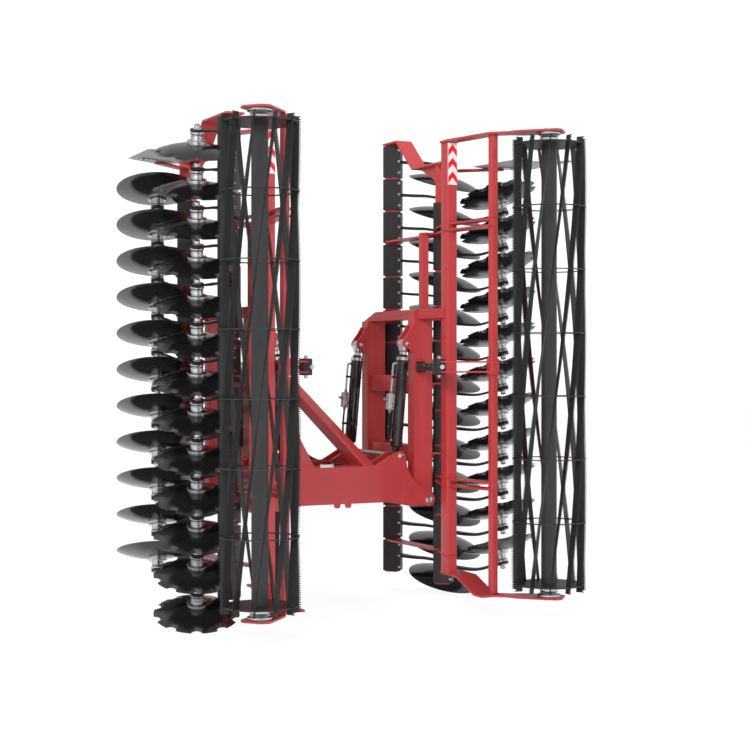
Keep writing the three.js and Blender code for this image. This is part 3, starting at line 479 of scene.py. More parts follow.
discKinds = {"front": discShapes(False), "rear": discShapes(True)}
for side in ("right", "left"):
    for row in ("front", "rear"):
        up = frontUp[side] if row == "front" else -frontUp[side]
        for number in range(1, rowCounts[side][row] + 1):
            name = f"{side}_{row}_disc_{number:02d}"
            spot = [arms["end"], arms["front"] if row == "front" else arms["rear"],
                    arms["lowest"] + (number - 1) * arms["pitch"]]
            placedShapes = [turned(shape, spot, discAxis(up), side=(1, 0, 0.1)) for shape in discKinds[row]]
            makePiece(name + "_blade", placedShapes, [bladeSteel, hubSteel], name, [name], side)
print("stage: discs", flush=True)


# The wing frame: two disc beams, posts at the fold planes, a main and a rear tube, plates that tie them.
beams = {"x": 0.830, "rear": 0.255, "front": 1.035, "below": 0.127, "aboveLong": 0.134, "aboveShort": 0.399}
mainTube = {"x": 0.690, "y": -0.067, "width": 0.080, "depth": 0.095, "bottom": 0.256}
rearTube = {"x": 0.768, "y": -0.529, "side": 0.050}
tubes = {"bottom": 0.147, "top": 3.275}
plates = {"thickness": 0.015, "footRib": 0.376, "crossRib": 2.640, "tailRibs": (2.685, 0.860, 0.905)}
posts = {"inner": 0.560, "outer": 0.710, "middle": 0.635, "rearTop": 2.105, "frontTop": 2.042,
         "ties": (1.075, 1.575)}
pivot = {"x": 0.660, "z": 0.748}
cylinder = {"base": np.array([0.433, 1.069]), "eye": np.array([0.504, 1.862])}  # its two pins, as (x, z)
roller = {"x": 1.048, "y": -0.787}
depthScrew = {"trunnion": (0.500, -0.262, 1.695), "clevis": (0.595, 0.202, 1.695), "radius": 0.0165}


def boxShape(x0, x1, y0, y1, z0, z1, corner=0.006, bevel=0.002, finish=0):
    # a rectangle with round corners carried from z0 to z1, both rims chamfered
    outline = rounded(rectangle(x1 - x0, y1 - y0, (x0 + x1) / 2, (y0 + y1) / 2), corner, 3)
    return prism(outline, z0, z1, bevel, finish)


def strip(path, width, low, high, corner=0.02, bevel=0.002, finish=0):
    # a level plate along a plan path, with softened corners
    return prism(rounded(band(path, width), corner, 3), low, high, bevel, finish)


def beamTopOf(count):
    # the longer row's beam ends just past its last disc, the shorter one's above its side sheet
    above = beams["aboveLong"] if count == longRow else beams["aboveShort"]
    return arms["lowest"] + (count - 1) * arms["pitch"] + above


def onEdge(y, points):
    # housing axes: a runs to the rear right, b to the front right; the beam's faces are at 50 mm along each
    a, b = np.asarray(points, float).T
    return np.stack([beams["x"] + (a + b) / math.sqrt(2), y + (b - a) / math.sqrt(2)], -1)


def wingFrameShapes(side):
    # every member is an outline carried straight along its length; strips follow a path in plan
    counts = rowCounts[side]
    half = plates["thickness"] / 2
    parts = []
    for y, count in ((beams["front"], counts["front"]), (beams["rear"], counts["rear"])):
        corners = onEdge(y, [(-0.05, -0.05), (-0.05, 0.05), (0.05, 0.05), (0.05, -0.05)])
        parts.append(prism(rounded(corners, 0.010, 4), arms["lowest"] - beams["below"], beamTopOf(count),
                           0.003))
    mainX, mainY = mainTube["x"], mainTube["y"]
    halfWidth, halfDepth = mainTube["width"] / 2, mainTube["depth"] / 2
    mainFront, mainRear = mainY + halfDepth, mainY - halfDepth
    parts.append(boxShape(mainX - halfWidth, mainX + halfWidth, mainRear, mainFront, mainTube["bottom"],
                          tubes["top"], 0.010))
    rearX, rearY, halfSide = rearTube["x"], rearTube["y"], rearTube["side"] / 2
    parts.append(boxShape(rearX - halfSide, rearX + halfSide, rearY - halfSide, rearY + halfSide,
                          tubes["bottom"], tubes["top"], 0.007))
    # folded plates at the tips and at the feet
    frontTop, rearTop = beamTopOf(counts["front"]), beamTopOf(counts["rear"])
    tip = [(beams["front"] + 0.03, frontTop), (beams["front"] - 0.185, frontTop),
           (beams["rear"] + 0.345, rearTop), (beams["rear"] - 0.095, rearTop)]
    parts.append(plateAlongX(band(tip, plates["thickness"]), beams["x"] - 0.075, beams["x"] + 0.060))
    ribZ = min(rearTop, tubes["top"]) - plates["thickness"]
    parts.append(strip([(beams["x"], beams["rear"]), (mainX, mainY)], 0.09, ribZ - half, ribZ + half))
    lowY, lowZ, way = (beams["front"], frontTop, -1) if frontTop < rearTop else (beams["rear"], rearTop, 1)
    gusset = [(lowY + way * 0.060, lowZ - 0.005), (lowY + way * 0.300, lowZ - 0.005),
              (lowY + way * 0.060, lowZ - 0.120)]
    parts.append(plateAlongX(rounded(gusset, 0.008, 2), beams["x"] - 0.030, beams["x"] - 0.018))
    low = mainTube["bottom"]
    foot = [(mainFront + 0.012, low), (mainRear - 0.12, low - 0.006),
            (rearY + 0.06, tubes["bottom"] + half), (rearY - 0.05, tubes["bottom"] + half)]
    parts.append(plateAlongX(band(foot, plates["thickness"]), mainX - halfWidth, rearX + 0.045))
    beamLine, footRib = beams["x"] - 0.025, plates["footRib"]
    parts.append(strip([(beamLine, beams["front"]), (beamLine, beams["rear"])], 0.09, footRib - half,
                       footRib + half))
    parts.append(strip([(beams["x"] - 0.01, beams["rear"]), (mainX + 0.014, mainY)], 0.09, footRib - half,
                       footRib + half))
    # ribs across beams and tubes: one right across, then three behind
    tail = [(beamLine, beams["rear"]), (mainX + 0.014, mainY), (rearX, rearY)]
    crossRib, crossTop = plates["crossRib"], plates["crossRib"] + plates["thickness"]
    parts.append(strip([(beamLine, beams["front"])] + tail, 0.10, crossRib, crossTop))
    for level in plates["tailRibs"]:
        parts.append(strip(tail, 0.09, level, level + plates["thickness"]))
    # posts with their ears, ties, cap and brace
    left, right, middle, postTop = posts["inner"], posts["outer"], posts["middle"], posts["rearTop"]
    capLow = postTop - 0.070
    post = [(left + 0.045, 0.703), (right - 0.04, 0.703), (right, pivot["z"]), (right, postTop),
            (left, postTop), (left, pivot["z"] + 0.03)]
    ear = [(left + 0.005, 1.787), (0.514, 1.824), (0.470, 1.850), (0.470, 1.880), (0.524, 1.952),
           (left + 0.005, 2.025)]
    for y in (rearPlane, frontPlane):
        top = postTop if y == rearPlane else posts["frontTop"]
        parts.append(plateAlongY(rounded([(x, min(z, top)) for x, z in post], 0.012, 3), y - 0.05, y + 0.05,
                                 0.004))
        for low, high in ((y - 0.050, y - 0.036), (y + 0.036, y + 0.050)):
            parts.append(plateAlongY(rounded(ear, 0.014, 4), low, high))
        for level in (*posts["ties"], capLow):
            beam = beams["rear"] if y == rearPlane else beams["front"]
            parts.append(strip([(middle, y), (beams["x"], beam)], 0.08, level - half, level + half, 0.01))
        # gussets under each of those plates, welded to the post's outer face
        for level in posts["ties"]:
            gusset = [(right - 0.01, level - 0.006), (right + 0.05, level - 0.006),
                      (right - 0.01, level - 0.085)]
            parts.append(plateAlongY(rounded(gusset, 0.006, 2), y - 0.006, y + 0.006, 0.0015))
    for level in posts["ties"]:
        parts.append(plateAlongY(rounded(rectangle(0.11, 0.12, middle, level), 0.010, 3), rearPlane + 0.04,
                                 frontPlane - 0.04, 0.002))
    cap = [(middle, rearPlane + 0.05), (middle, rearPlane - 0.04), (mainX, mainY)]
    parts.append(strip(cap, 0.11, capLow, postTop, 0.004, 0.003))
    # between the posts the cap slopes down to the front
    beak = [(rearPlane + 0.04, capLow), (frontPlane + 0.050, capLow), (frontPlane + 0.050, capLow + 0.009),
            (frontPlane - 0.125, postTop), (rearPlane + 0.04, postTop)]
    parts.append(plateAlongX(rounded(beak, 0.006, 3), middle - 0.055, middle + 0.055, 0.003))
    parts.append(boxShape(middle, 0.690, rearPlane - 0.03, rearPlane + 0.025, postTop - 0.005, crossTop,
                          0.007))
    parts.append(strip([(0.650, rearPlane - 0.0025), (beams["x"], beams["rear"])], 0.09, crossRib, crossTop,
                       0.01))
    # roller arms with softened ends
    reach = unit([roller["x"] - rearX, roller["y"] - rearY]) * 0.100
    armLine = [(rearX, rearY), (roller["x"], roller["y"]), (roller["x"] + reach[0], roller["y"] + reach[1])]
    upper = [(mainX, mainFront), (mainX, mainY - 0.06)] + armLine
    # one outline: as wide as a rib at the tubes, opening to 200 mm under the bearing, corners cut off
    away, square = unit(reach), unit([-reach[1], reach[0]])
    axis = np.array([roller["x"], roller["y"]])
    head = [axis - away * 0.270 - square * 0.055, axis - away * 0.190 - square * 0.090,
            axis + away * 0.065 - square * 0.100, axis + away * 0.100 - square * 0.065,
            axis + away * 0.100 + square * 0.065, axis + away * 0.065 + square * 0.100,
            axis - away * 0.190 + square * 0.090, axis - away * 0.270 + square * 0.055]
    for path, low in ((upper, tubes["top"] - plates["thickness"]), (armLine, tubes["bottom"])):
        edge = band(path[:-1], 0.11)
        outline = np.vstack([edge[:len(path) - 2], head, edge[-(len(path) - 2):]])
        parts.append(prism(rounded(outline, 0.014, 3), low, low + plates["thickness"], 0.002))
    # depth arm: a fork from the rear tube to the screw's trunnion
    fork = [(rearX, rearY), depthScrew["trunnion"][:2]]
    for low in (1.655, 1.723):
        parts.append(strip(fork, 0.055, low, low + 0.012, 0.02))
    parts.append(boxShape(0.735, 0.801, -0.562, -0.496, 1.640, 1.750, 0.006))
    # welds where ribs and ties meet the tubes
    mainRing = rounded(rectangle(mainTube["width"], mainTube["depth"], mainX, mainY), 0.010, 3)
    for level, up in ((crossTop, 1), (crossRib, -1), (0.920, 1), (0.860, -1), (footRib + half, 1)):
        parts.append(weldBead(mainRing, level, 0.006, up))
    rearRing = rounded(rectangle(rearTube["side"], rearTube["side"], rearX, rearY), 0.007, 3)
    for level, up in ((2.700, 1), (crossRib, -1), (0.920, 1), (0.860, -1)):
        parts.append(weldBead(rearRing, level, 0.005, up))
    return parts


clamp = {"plate": 0.008, "reach": 0.076, "halfHeight": 0.1175, "boltRow": 0.085, "boltSize": 0.0095}


def housingShapes(side):
    # two bent shells of plate grip the beam and meet in flanges at its rear and front corners;
    # each shell is a band along a bent path, carried up the housing's height
    reach, halfHeight = clamp["reach"], clamp["halfHeight"]
    outer = band([(reach, -0.058), (-0.057, -0.058), (-0.057, reach)], clamp["plate"])
    inner = band([(reach, -0.0495), (0.057, -0.0495), (0.057, 0.057), (-0.0485, 0.057), (-0.0485, reach)],
                 clamp["plate"])
    shells, bolts = [], []
    for y, count in ((beams["front"], rowCounts[side]["front"]), (beams["rear"], rowCounts[side]["rear"])):
        for number in range(count):
            middle = arms["lowest"] + number * arms["pitch"]
            for outline in (outer, inner):
                outline = onEdge(y, rounded(outline, 0.005, 3))
                shells.append(prism(outline, middle - halfHeight, middle + halfHeight, 0.0015))
            for level in (middle - clamp["boltRow"], middle, middle + clamp["boltRow"]):
                for at, way in (((0.068, -0.062), (0, -1)), ((-0.061, 0.068), (-1, 0))):
                    spot = onEdge(y, [at])[0]
                    to = onEdge(0, [way])[0] - onEdge(0, [(0, 0)])[0]
                    bolts.append(turned(hexBolt(clamp["boltSize"], 0, 0.006), (*spot, level), (*to, 0)))
    return shells, bolts


def curveOf(start, pull, end, count=9):
    # quadratic curve: (1 - s)^2 start + 2 s (1 - s) pull + s^2 end
    s = np.linspace(0, 1, count)[:, None]
    return (1 - s) ** 2 * np.array(start) + 2 * s * (1 - s) * np.array(pull) + s**2 * np.array(end)


forging = {"width": 0.084, "taper": 0.030, "halfThickness": 0.010, "thinning": 0.003, "dip": 0.014,
           "bevel": 0.003}


def armShapes(side):
    # forged arm: a quadratic curve in plan, dipping by a half sine, then a smooth step up to its thin eye;
    # its section is a rectangle with cut corners, narrower and thinner towards the eye
    parts = []
    for row, beamY, endY in (("front", beams["front"], arms["front"]), ("rear", beams["rear"], arms["rear"])):
        lean = discAxis(frontUp[side] if row == "front" else -frontUp[side])
        eyeSpot = np.array([arms["end"], endY, 0]) + lean * arms["eyeRise"]
        path = curveOf((beams["x"] + 0.035, beamY - 0.045), (beams["x"] + 0.150, beamY - 0.215),
                       eyeSpot[:2], 15)
        share = np.linspace(0, 1, len(path))
        plan = band(path, forging["width"] - forging["taper"] * share)
        late = np.clip((share - 0.45) / 0.5, 0, 1)
        dip = -forging["dip"] * np.sin(math.pi * share) + eyeSpot[2] * late**2 * (3 - 2 * late)
        thick, bevel = forging["halfThickness"] - forging["thinning"] * share, forging["bevel"]
        near, far = plan[:len(path)], plan[::-1][:len(path)]
        edge = unit(far - near) * 0.004
        low, high = dip - thick, dip + thick
        corners = [(near, low + bevel), (near + edge, low), (far - edge, low), (far, low + bevel),
                   (far, high - bevel), (far - edge, high), (near + edge, high), (near, high - bevel)]
        rings = np.stack([np.column_stack([spot, level]) for spot, level in corners], 1)
        blank = skin(rings[:, ::-1], 0)
        eye = turned(lathe([(0.030, -0.008), (0.042, -0.008), (0.045, -0.005), (0.045, 0.005), (0.042, 0.008),
                            (0.030, 0.008)], 28), eyeSpot, lean)
        nut = turned(lathe([(0.005, -0.040), (0.014, -0.039), (0.0185, -0.035), (0.0195, -0.030),
                            (0.0195, -0.014), (0.026, -0.012), (0.028, -0.007)], 24, 1), eyeSpot, lean)
        lift = [(0, 0, arms["lowest"] + k * arms["pitch"]) for k in range(rowCounts[side][row])]
        parts += [copied(shape, lift) for shape in (blank, eye, nut)]
    return parts


def pinEnd(x, y, z, way, radius):
    # a thin washer and a domed head with a shallow centre on a pin's end, looking along Y
    collar = lathe([(radius * 0.90, 0), (radius * 1.08, 0.0005), (radius * 1.08, 0.004),
                    (radius * 0.98, 0.005), (radius * 0.88, 0.006), (radius * 0.82, 0.011),
                    (radius * 0.55, 0.0135), (radius * 0.22, 0.0140), (radius * 0.16, 0.0125)], 28)
    return [turned(collar, (x, y, z), (0, way, 0), side=(0.4, 0, 1))]


def bearingShapes():
    # a flanged bearing under the upper arm and over the lower one, one profile turned about the axis
    profile = [(0.030, 0.0), (0.076, 0.0), (0.078, 0.002), (0.078, 0.013), (0.074, 0.016), (0.064, 0.019),
               (0.058, 0.036), (0.062, 0.040), (0.062, 0.050), (0.054, 0.056), (0.036, 0.0618),
               (0.031, 0.0618)]
    high = turned(lathe(profile, 32), (roller["x"], roller["y"], tubes["top"] - plates["thickness"]),
                  (0, 0, -1))
    low = turned(lathe(profile, 32), (roller["x"], roller["y"], tubes["bottom"] + plates["thickness"]),
                 (0, 0, 1))
    bolts = []
    for z, way in ((tubes["top"], 1), (tubes["bottom"], -1)):
        for x, y in circle(0.062, 4, roller["x"], roller["y"], 0.6):
            bolts.append(turned(hexBolt(0.009, 0), (x, y, z), (0, 0, way)))
    return [high, low] + bolts


marker = {"width": 0.074, "height": 0.292, "middle": 3.109, "chevrons": 3, "pitch": 0.094, "slope": 0.040,
          "stripe": 0.044}


def markerShapes():
    # a white panel with red chevrons pointing up, on the main tube's rear face
    rear, x, half = mainTube["y"] - mainTube["depth"] / 2, mainTube["x"], marker["width"] / 2
    panel = rectangle(marker["width"], marker["height"], x, marker["middle"])
    parts = [plateAlongY(rounded(panel, 0.003, 2), rear - 0.004, rear, 0.0008, 0)]
    side, slope, stripe = half - 0.002, marker["slope"], marker["stripe"]
    for k in range(marker["chevrons"]):
        low = marker["middle"] - 0.137 + k * marker["pitch"]
        chevron = [(x - side, low), (x, low + slope), (x + side, low),
                   (x + side, low + stripe), (x, low + slope + stripe), (x - side, low + stripe)]
        parts.append(plateAlongY(chevron, rear - 0.0048, rear - 0.003, 0.0003, 1))
    return parts


deflector = {"thickness": 0.006, "drop": 0.042}


def deflectorShapes(side):
    # a level sheet outboard of the short row's last disc, its ground edge along the line of travel
    short = "front" if rowCounts[side]["front"] == shortRow else "rear"
    shortY, shortBeam = (arms["front"], beams["front"]) if short == "front" else (arms["rear"], beams["rear"])
    outline = np.array([(-0.224, 0.041), (-0.009, 0.121), (0.222, -0.036), (0.251, -0.572), (0.166, -0.477),
                        (0.036, -0.407), (-0.164, -0.382)]) + [arms["end"], shortY]
    base = beamTopOf(shortRow) - deflector["drop"]
    sheet = prism(rounded(outline, 0.020, 4), base, base + deflector["thickness"], 0.001)
    start, end = np.array([arms["end"] - 0.10, shortY - 0.02]), np.array([arms["end"] + 0.16, shortY - 0.10])
    clampBar = strip([start, end], 0.040, base - 0.005, base + 0.001, 0.006, 0.001, 2)
    bolts = []
    for share in (0.1, 0.5, 0.9):
        x, y = start + (end - start) * share
        bolts += [turned(hexBolt(0.009, 1, 0.006), (x, y, base - 0.005), (0, 0, -1)),
                  moved(hexBolt(0.009, 1), x, y, base + deflector["thickness"])]
    bracket = strip([(beams["x"], shortBeam), (arms["end"], shortY)], 0.060, base - 0.018, base - 0.001,
                    0.012)
    return [sheet, clampBar] + bolts, bracket


def depthScrewShapes():
    # trunnion, spindle with a hand nut, and the clevis on the rear post; way runs along the spindle
    start, end = np.array(depthScrew["trunnion"]), np.array(depthScrew["clevis"])
    (x, y, z), radius, way = start, depthScrew["radius"], unit(end - start)
    parts = [boxShape(x - 0.035, x + 0.035, y - 0.035, y + 0.035, z - 0.055, z + 0.055, 0.010, 0.004, 0),
             rod(start + way * 0.03, end - way * 0.05, radius, 20, finish=1),
             rod(start + way * 0.12, start + way * 0.19, 0.030, 6, 0.004, finish=0),
             rod(start + way * 0.23, end - way * 0.02, 0.026, 20, finish=0),
             rod((x, y, z - 0.070), (x, y, z + 0.070), 0.013, 18, finish=1),
             rod(start - way * 0.075, start - way * 0.02, radius, 16, finish=1)]
    for up in (1, -1):
        parts.append(turned(hexBolt(0.013, 1), (x, y, z + up * 0.064), (0, 0, up)))
    parts.append(boxShape(0.575, 0.635, 0.163, 0.196, 1.655, 1.735, 0.006, 0.003, 0))
    parts.append(turned(lathe([(0.012, 0.009), (0.010, 0.003), (0.004, 0)], 16, 2),
                        start + way * 0.26 + [-0.022, 0, 0.012], (-1, -0.3, 0.2)))
    return parts


for side in ("right", "left"):
    wing = side + "_wing"
    makePiece(wing + "_weldment", wingFrameShapes(side), [redPaint], wing, [wing + "_frame"],
              side)
    shells, bolts = housingShapes(side)
    makePiece(wing + "_clamp_housings", shells, [charcoal], wing, side=side)
    makePiece(wing + "_housing_bolts", bolts, [boltZinc], wing, side=side)
    makePiece(wing + "_disc_arms", armShapes(side), [castDark, hubSteel], wing, side=side)
    makePiece(wing + "_roller_bearings", bearingShapes(), [boltZinc], wing, side=side)
    makePiece(wing + "_marker_panel", markerShapes(), [signWhite, signRed], wing, side=side)
    shapes, bracket = deflectorShapes(side)
    makePiece(wing + "_side_deflector", shapes, [galvanised, boltZinc], wing, side=side)
    makePiece(wing + "_deflector_bracket", [bracket], [redPaint], wing, side=side)
    makePiece(wing + "_depth_screw", depthScrewShapes(), [charcoal, boltZinc, brassTone], wing,
              side=side)
    pinShapes = []
    for y in (rearPlane, frontPlane):
        for way in (-1, 1):
            pinShapes += pinEnd(cylinder["eye"][0], y + way * 0.050, cylinder["eye"][1], way, 0.015)
    makePiece(wing + "_rod_pins", pinShapes, [boltZinc], wing, side=side)
print("stage: wing frames", flush=True)


roller |= {"radius": 0.252, "low": 0.242, "high": 3.180, "tubeRadius": 0.052, "rings": 8, "blades": 11,
           "start": 26.0, "twist": 100.0, "overhang": 0.040, "depth": 0.056, "thickness": 0.007,
           "toothPitch": 0.014, "toothDepth": 0.012, "gap": 0.0011}


def rollerShapes(side):
    # each blade is a helix: turn = start + twist x height / length, with a blunt tooth every toothPitch;
    # both rollers turn the same way, so the mirrored one starts from the half turn
    low, high = roller["low"] - roller["overhang"], roller["high"] + roller["overhang"]
    tube, bladeReach = roller["tubeRadius"], roller["radius"] - roller["gap"]
    parts = [lathe([(tube - 0.004, roller["low"]), (tube, roller["low"] + 0.002),
                    (tube, roller["high"] - 0.002), (tube - 0.004, roller["high"])], 32, 1),
             lathe([(0.028, low + 0.03), (0.030, low + 0.032), (0.030, high - 0.032), (0.028, high - 0.03)],
                   24, 2)]
    for k in range(roller["rings"]):
        z = roller["low"] + (roller["high"] - roller["low"]) * k / (roller["rings"] - 1)
        if k in (0, roller["rings"] - 1):
            thick = 0.005
            parts.append(lathe([(0.045, z - thick), (0.231, z - thick), (0.232, z - thick + 0.001),
                                (0.232, z + thick - 0.001), (0.231, z + thick), (0.045, z + thick)], 72, 1))
        else:
            radius, level = np.array([(0.216, z - 0.003), (0.244, z - 0.003), (0.244, z + 0.003),
                                      (0.216, z + 0.003)]).T
            turn = np.linspace(0, 2 * math.pi, 72, endpoint=False)
            rings = np.stack([np.outer(radius, np.cos(turn)), np.outer(radius, np.sin(turn)),
                              np.repeat(level[:, None], len(turn), 1)], -1)
            parts.append(skin(rings, 1, ringLoop=True))
    toothCount, thick = int((high - low) / roller["toothPitch"]), roller["thickness"]
    level = ((np.arange(toothCount)[:, None] + [0.0, 0.34, 0.46, 0.88]) * roller["toothPitch"]).ravel()
    reach = np.tile([0.0, 0.0, -roller["toothDepth"], -roller["toothDepth"]], toothCount) + bladeReach
    level, reach = np.append(low + level, high), np.append(reach, bladeReach)
    inner = np.full(len(level), roller["radius"] - roller["depth"])
    corners = [(inner, -thick / 2), (reach, -thick / 2), (reach, thick / 2), (inner, thick / 2)]
    share = (level - (low + high) / 2) / (high - low)
    helix = math.radians(roller["start"]) + math.radians(roller["twist"]) * share
    for k in range(roller["blades"]):
        turn = helix + 2 * math.pi * k / roller["blades"]
        turn = turn if side == "right" else math.pi - turn
        cos, sin = np.cos(turn), np.sin(turn)
        rings = np.stack([np.stack([r * cos - off * sin, r * sin + off * cos, level], -1) for r,
                          off in corners], 1)
        parts.append(skin(rings, 0))
    return [moved(shape, roller["x"], roller["y"], 0) for shape in parts]


for side in ("right", "left"):
    makePiece(side + "_roller_cage", rollerShapes(side), [rollerDark, charcoal, hubSteel], side + "_roller",
              [side + "_roller"], side)
print("stage: rollers", flush=True)


# The fold cylinders are drawn upright along their own axis, then leaned from the base pin to the rod's eye.
cylinder |= {"radius": 0.0425, "barrelTop": 0.672, "rodRadius": 0.025, "pinRadius": 0.019}
(baseX, baseZ), (eyeX, eyeZ) = cylinder["base"], cylinder["eye"]


def leaned(shape, y):
    # the shape's z runs up the cylinder, its x across the machine, outward
    return turned(shape, (baseX, y, baseZ), (eyeX - baseX, 0, eyeZ - baseZ), side=(1, 0, 0))


def barrelShapes():
    # tube, gland, wiper and lug are profiles turned about an axis; the pipes follow smooth curves
    radius, top = cylinder["radius"], cylinder["barrelTop"]
    parts = []
    for y in (rearPlane, frontPlane):
        barrel = lathe([(0.030, 0.058), (0.038, 0.062), (radius, 0.070), (radius, top),
                        (radius - 0.0015, top + 0.002)], 40, 0)
        gland = lathe([(0.041, 0.674), (0.0445, 0.676), (0.0445, 0.694), (0.042, 0.699), (0.034, 0.700),
                       (0.034, 0.6995)], 40, 1)
        wiper = lathe([(0.034, 0.6995), (0.034, 0.712), (0.030, 0.716), (0.026, 0.716)], 32, 3)
        lug = turned(lathe([(0.019, -0.024), (0.033, -0.024), (0.035, -0.022), (0.035, 0.022), (0.033, 0.024),
                            (0.019, 0.024)], 28, 0), up=(0, 1, 0))
        neck = boxShape(-0.024, 0.024, -0.020, 0.020, 0.006, 0.066, 0.006, 0.004)
        parts += [leaned(shape, y) for shape in (barrel, gland, wiper, lug, neck)]
        # a steel pipe from the gland end down the inner side to a check valve
        port = lathe([(0.011, 0), (0.011, 0.014), (0.008, 0.016)], 16, 1)
        parts += [leaned(turned(port, (-0.041, 0, z), (-1, 0, 0)), y) for z in (0.650, 0.105)]
        line = [(-0.052, 0, 0.650), (-0.066, 0, 0.646), (-0.072, 0, 0.628), (-0.072, 0, 0.48),
                (-0.072, 0, 0.43)]
        parts.append(leaned(pipe(line, 0.008, 14, 2), y))
        blockLow, blockHigh = 0.318, 0.432
        parts.append(leaned(boxShape(-0.098, -0.048, -0.024, 0.024, blockLow, blockHigh, 0.006, 0.003, 2), y))
        for z, up in ((blockHigh, 1), (blockLow, -1)):
            union = lathe([(0.013, 0), (0.013, 0.012), (0.010, 0.015), (0.010, 0.022)], 6, 1)
            parts.append(leaned(turned(union, (-0.072, 0, z), (0, 0, up)), y))
        spool = lathe([(0.014, 0), (0.014, 0.010), (0.009, 0.013), (0.009, 0.026), (0.006, 0.029)], 16, 1)
        parts.append(leaned(turned(spool, (-0.098, 0, 0.390), (-1, 0, 0)), y))
        parts.append(leaned(turned(spool, (-0.072, -0.024, 0.352), (0, -1, 0)), y))
        lower = [(-0.072, 0, 0.30), (-0.073, 0, 0.24), (-0.070, 0, 0.15), (-0.062, 0, 0.112),
                 (-0.052, 0, 0.105)]
        parts.append(leaned(pipe(lower, 0.007, 12, 3), y))
        for z in (0.20, 0.55):
            clip = lathe([(0.0435, z - 0.008), (0.0445, z - 0.007), (0.0445, z + 0.007),
                          (0.0435, z + 0.008)], 40, 0)
            saddle = boxShape(-0.080, -0.040, -0.010, 0.010, z - 0.008, z + 0.008, 0.003, 0.001, 0)
            parts += [leaned(clip, y), leaned(saddle, y)]
    start, end = rearPlane - 0.080, frontPlane + 0.080
    parts.append(rod((baseX, start, baseZ), (baseX, end, baseZ), cylinder["pinRadius"], 28, finish=1))
    for y, way in ((start, -1), (end, 1)):
        parts += [{**shape, "finish": shape["finish"] + 1}
                  for shape in pinEnd(baseX, y, baseZ, way, cylinder["pinRadius"])]
    return parts


def cylinderRodShapes():
    # rod, collar, eye and grease nipple, each a profile turned about an axis
    parts, radius = [], cylinder["rodRadius"]
    length = float(np.linalg.norm(cylinder["eye"] - cylinder["base"]))
    for y in (rearPlane, frontPlane):
        bar = lathe([(radius - 0.002, length - 0.690), (radius, length - 0.688), (radius, length - 0.045),
                     (radius - 0.001, length - 0.040)], 40, 0)
        collar = lathe([(0.025, length - 0.060), (0.033, length - 0.052), (0.035, length - 0.020),
                        (0.026, length - 0.012)], 32, 1)
        eye = turned(lathe([(0.017, -0.0355), (0.031, -0.0355), (0.034, -0.033), (0.034, 0.033),
                            (0.031, 0.0355), (0.017, 0.0355)], 36, 1), (0, 0, length), (0, 1, 0))
        grease = turned(lathe([(0.005, 0), (0.005, 0.005), (0.003, 0.008), (0.0035, 0.010)], 10, 0),
                        (-0.033, 0, length), (-1, 0, 0))
        parts += [leaned(shape, y) for shape in (bar, collar, eye, grease)]
    return parts


for side in ("right", "left"):
    makePiece(side + "_barrels", barrelShapes(), [barrelGloss, boltZinc, galvanised, rubber],
              side + "_cylinders", [side + "_fold_cylinders"], side)
    makePiece(side + "_rods", cylinderRodShapes(), [chrome, hubSteel], side + "_rods",
              [f"{side}_{row}_cylinder_rod" for row in ("rear", "front")], side)
print("stage: cylinders", flush=True)


# The centre frame: two pairs of profiled cross plates, rails, and the headstock with mast and link cheeks.
crossPlates = {"top": 1.006, "bottom": 0.712, "gap": 0.060, "thickness": 0.020}
rails = {"x": 0.280, "width": 0.120, "bottom": 0.785, "top": 0.945}
headstock = {"y": 1.400, "z": 0.880, "side": 0.140, "linkX": 0.4825, "linkZ": 0.820, "topLink": 0.760}
hitchY, hitchZ, linkX, linkZ = (headstock[key] for key in ("y", "z", "linkX", "linkZ"))
gap, plate = crossPlates["gap"], crossPlates["thickness"]
plateTop, plateBottom, topZ = crossPlates["top"], crossPlates["bottom"], linkZ + headstock["topLink"]


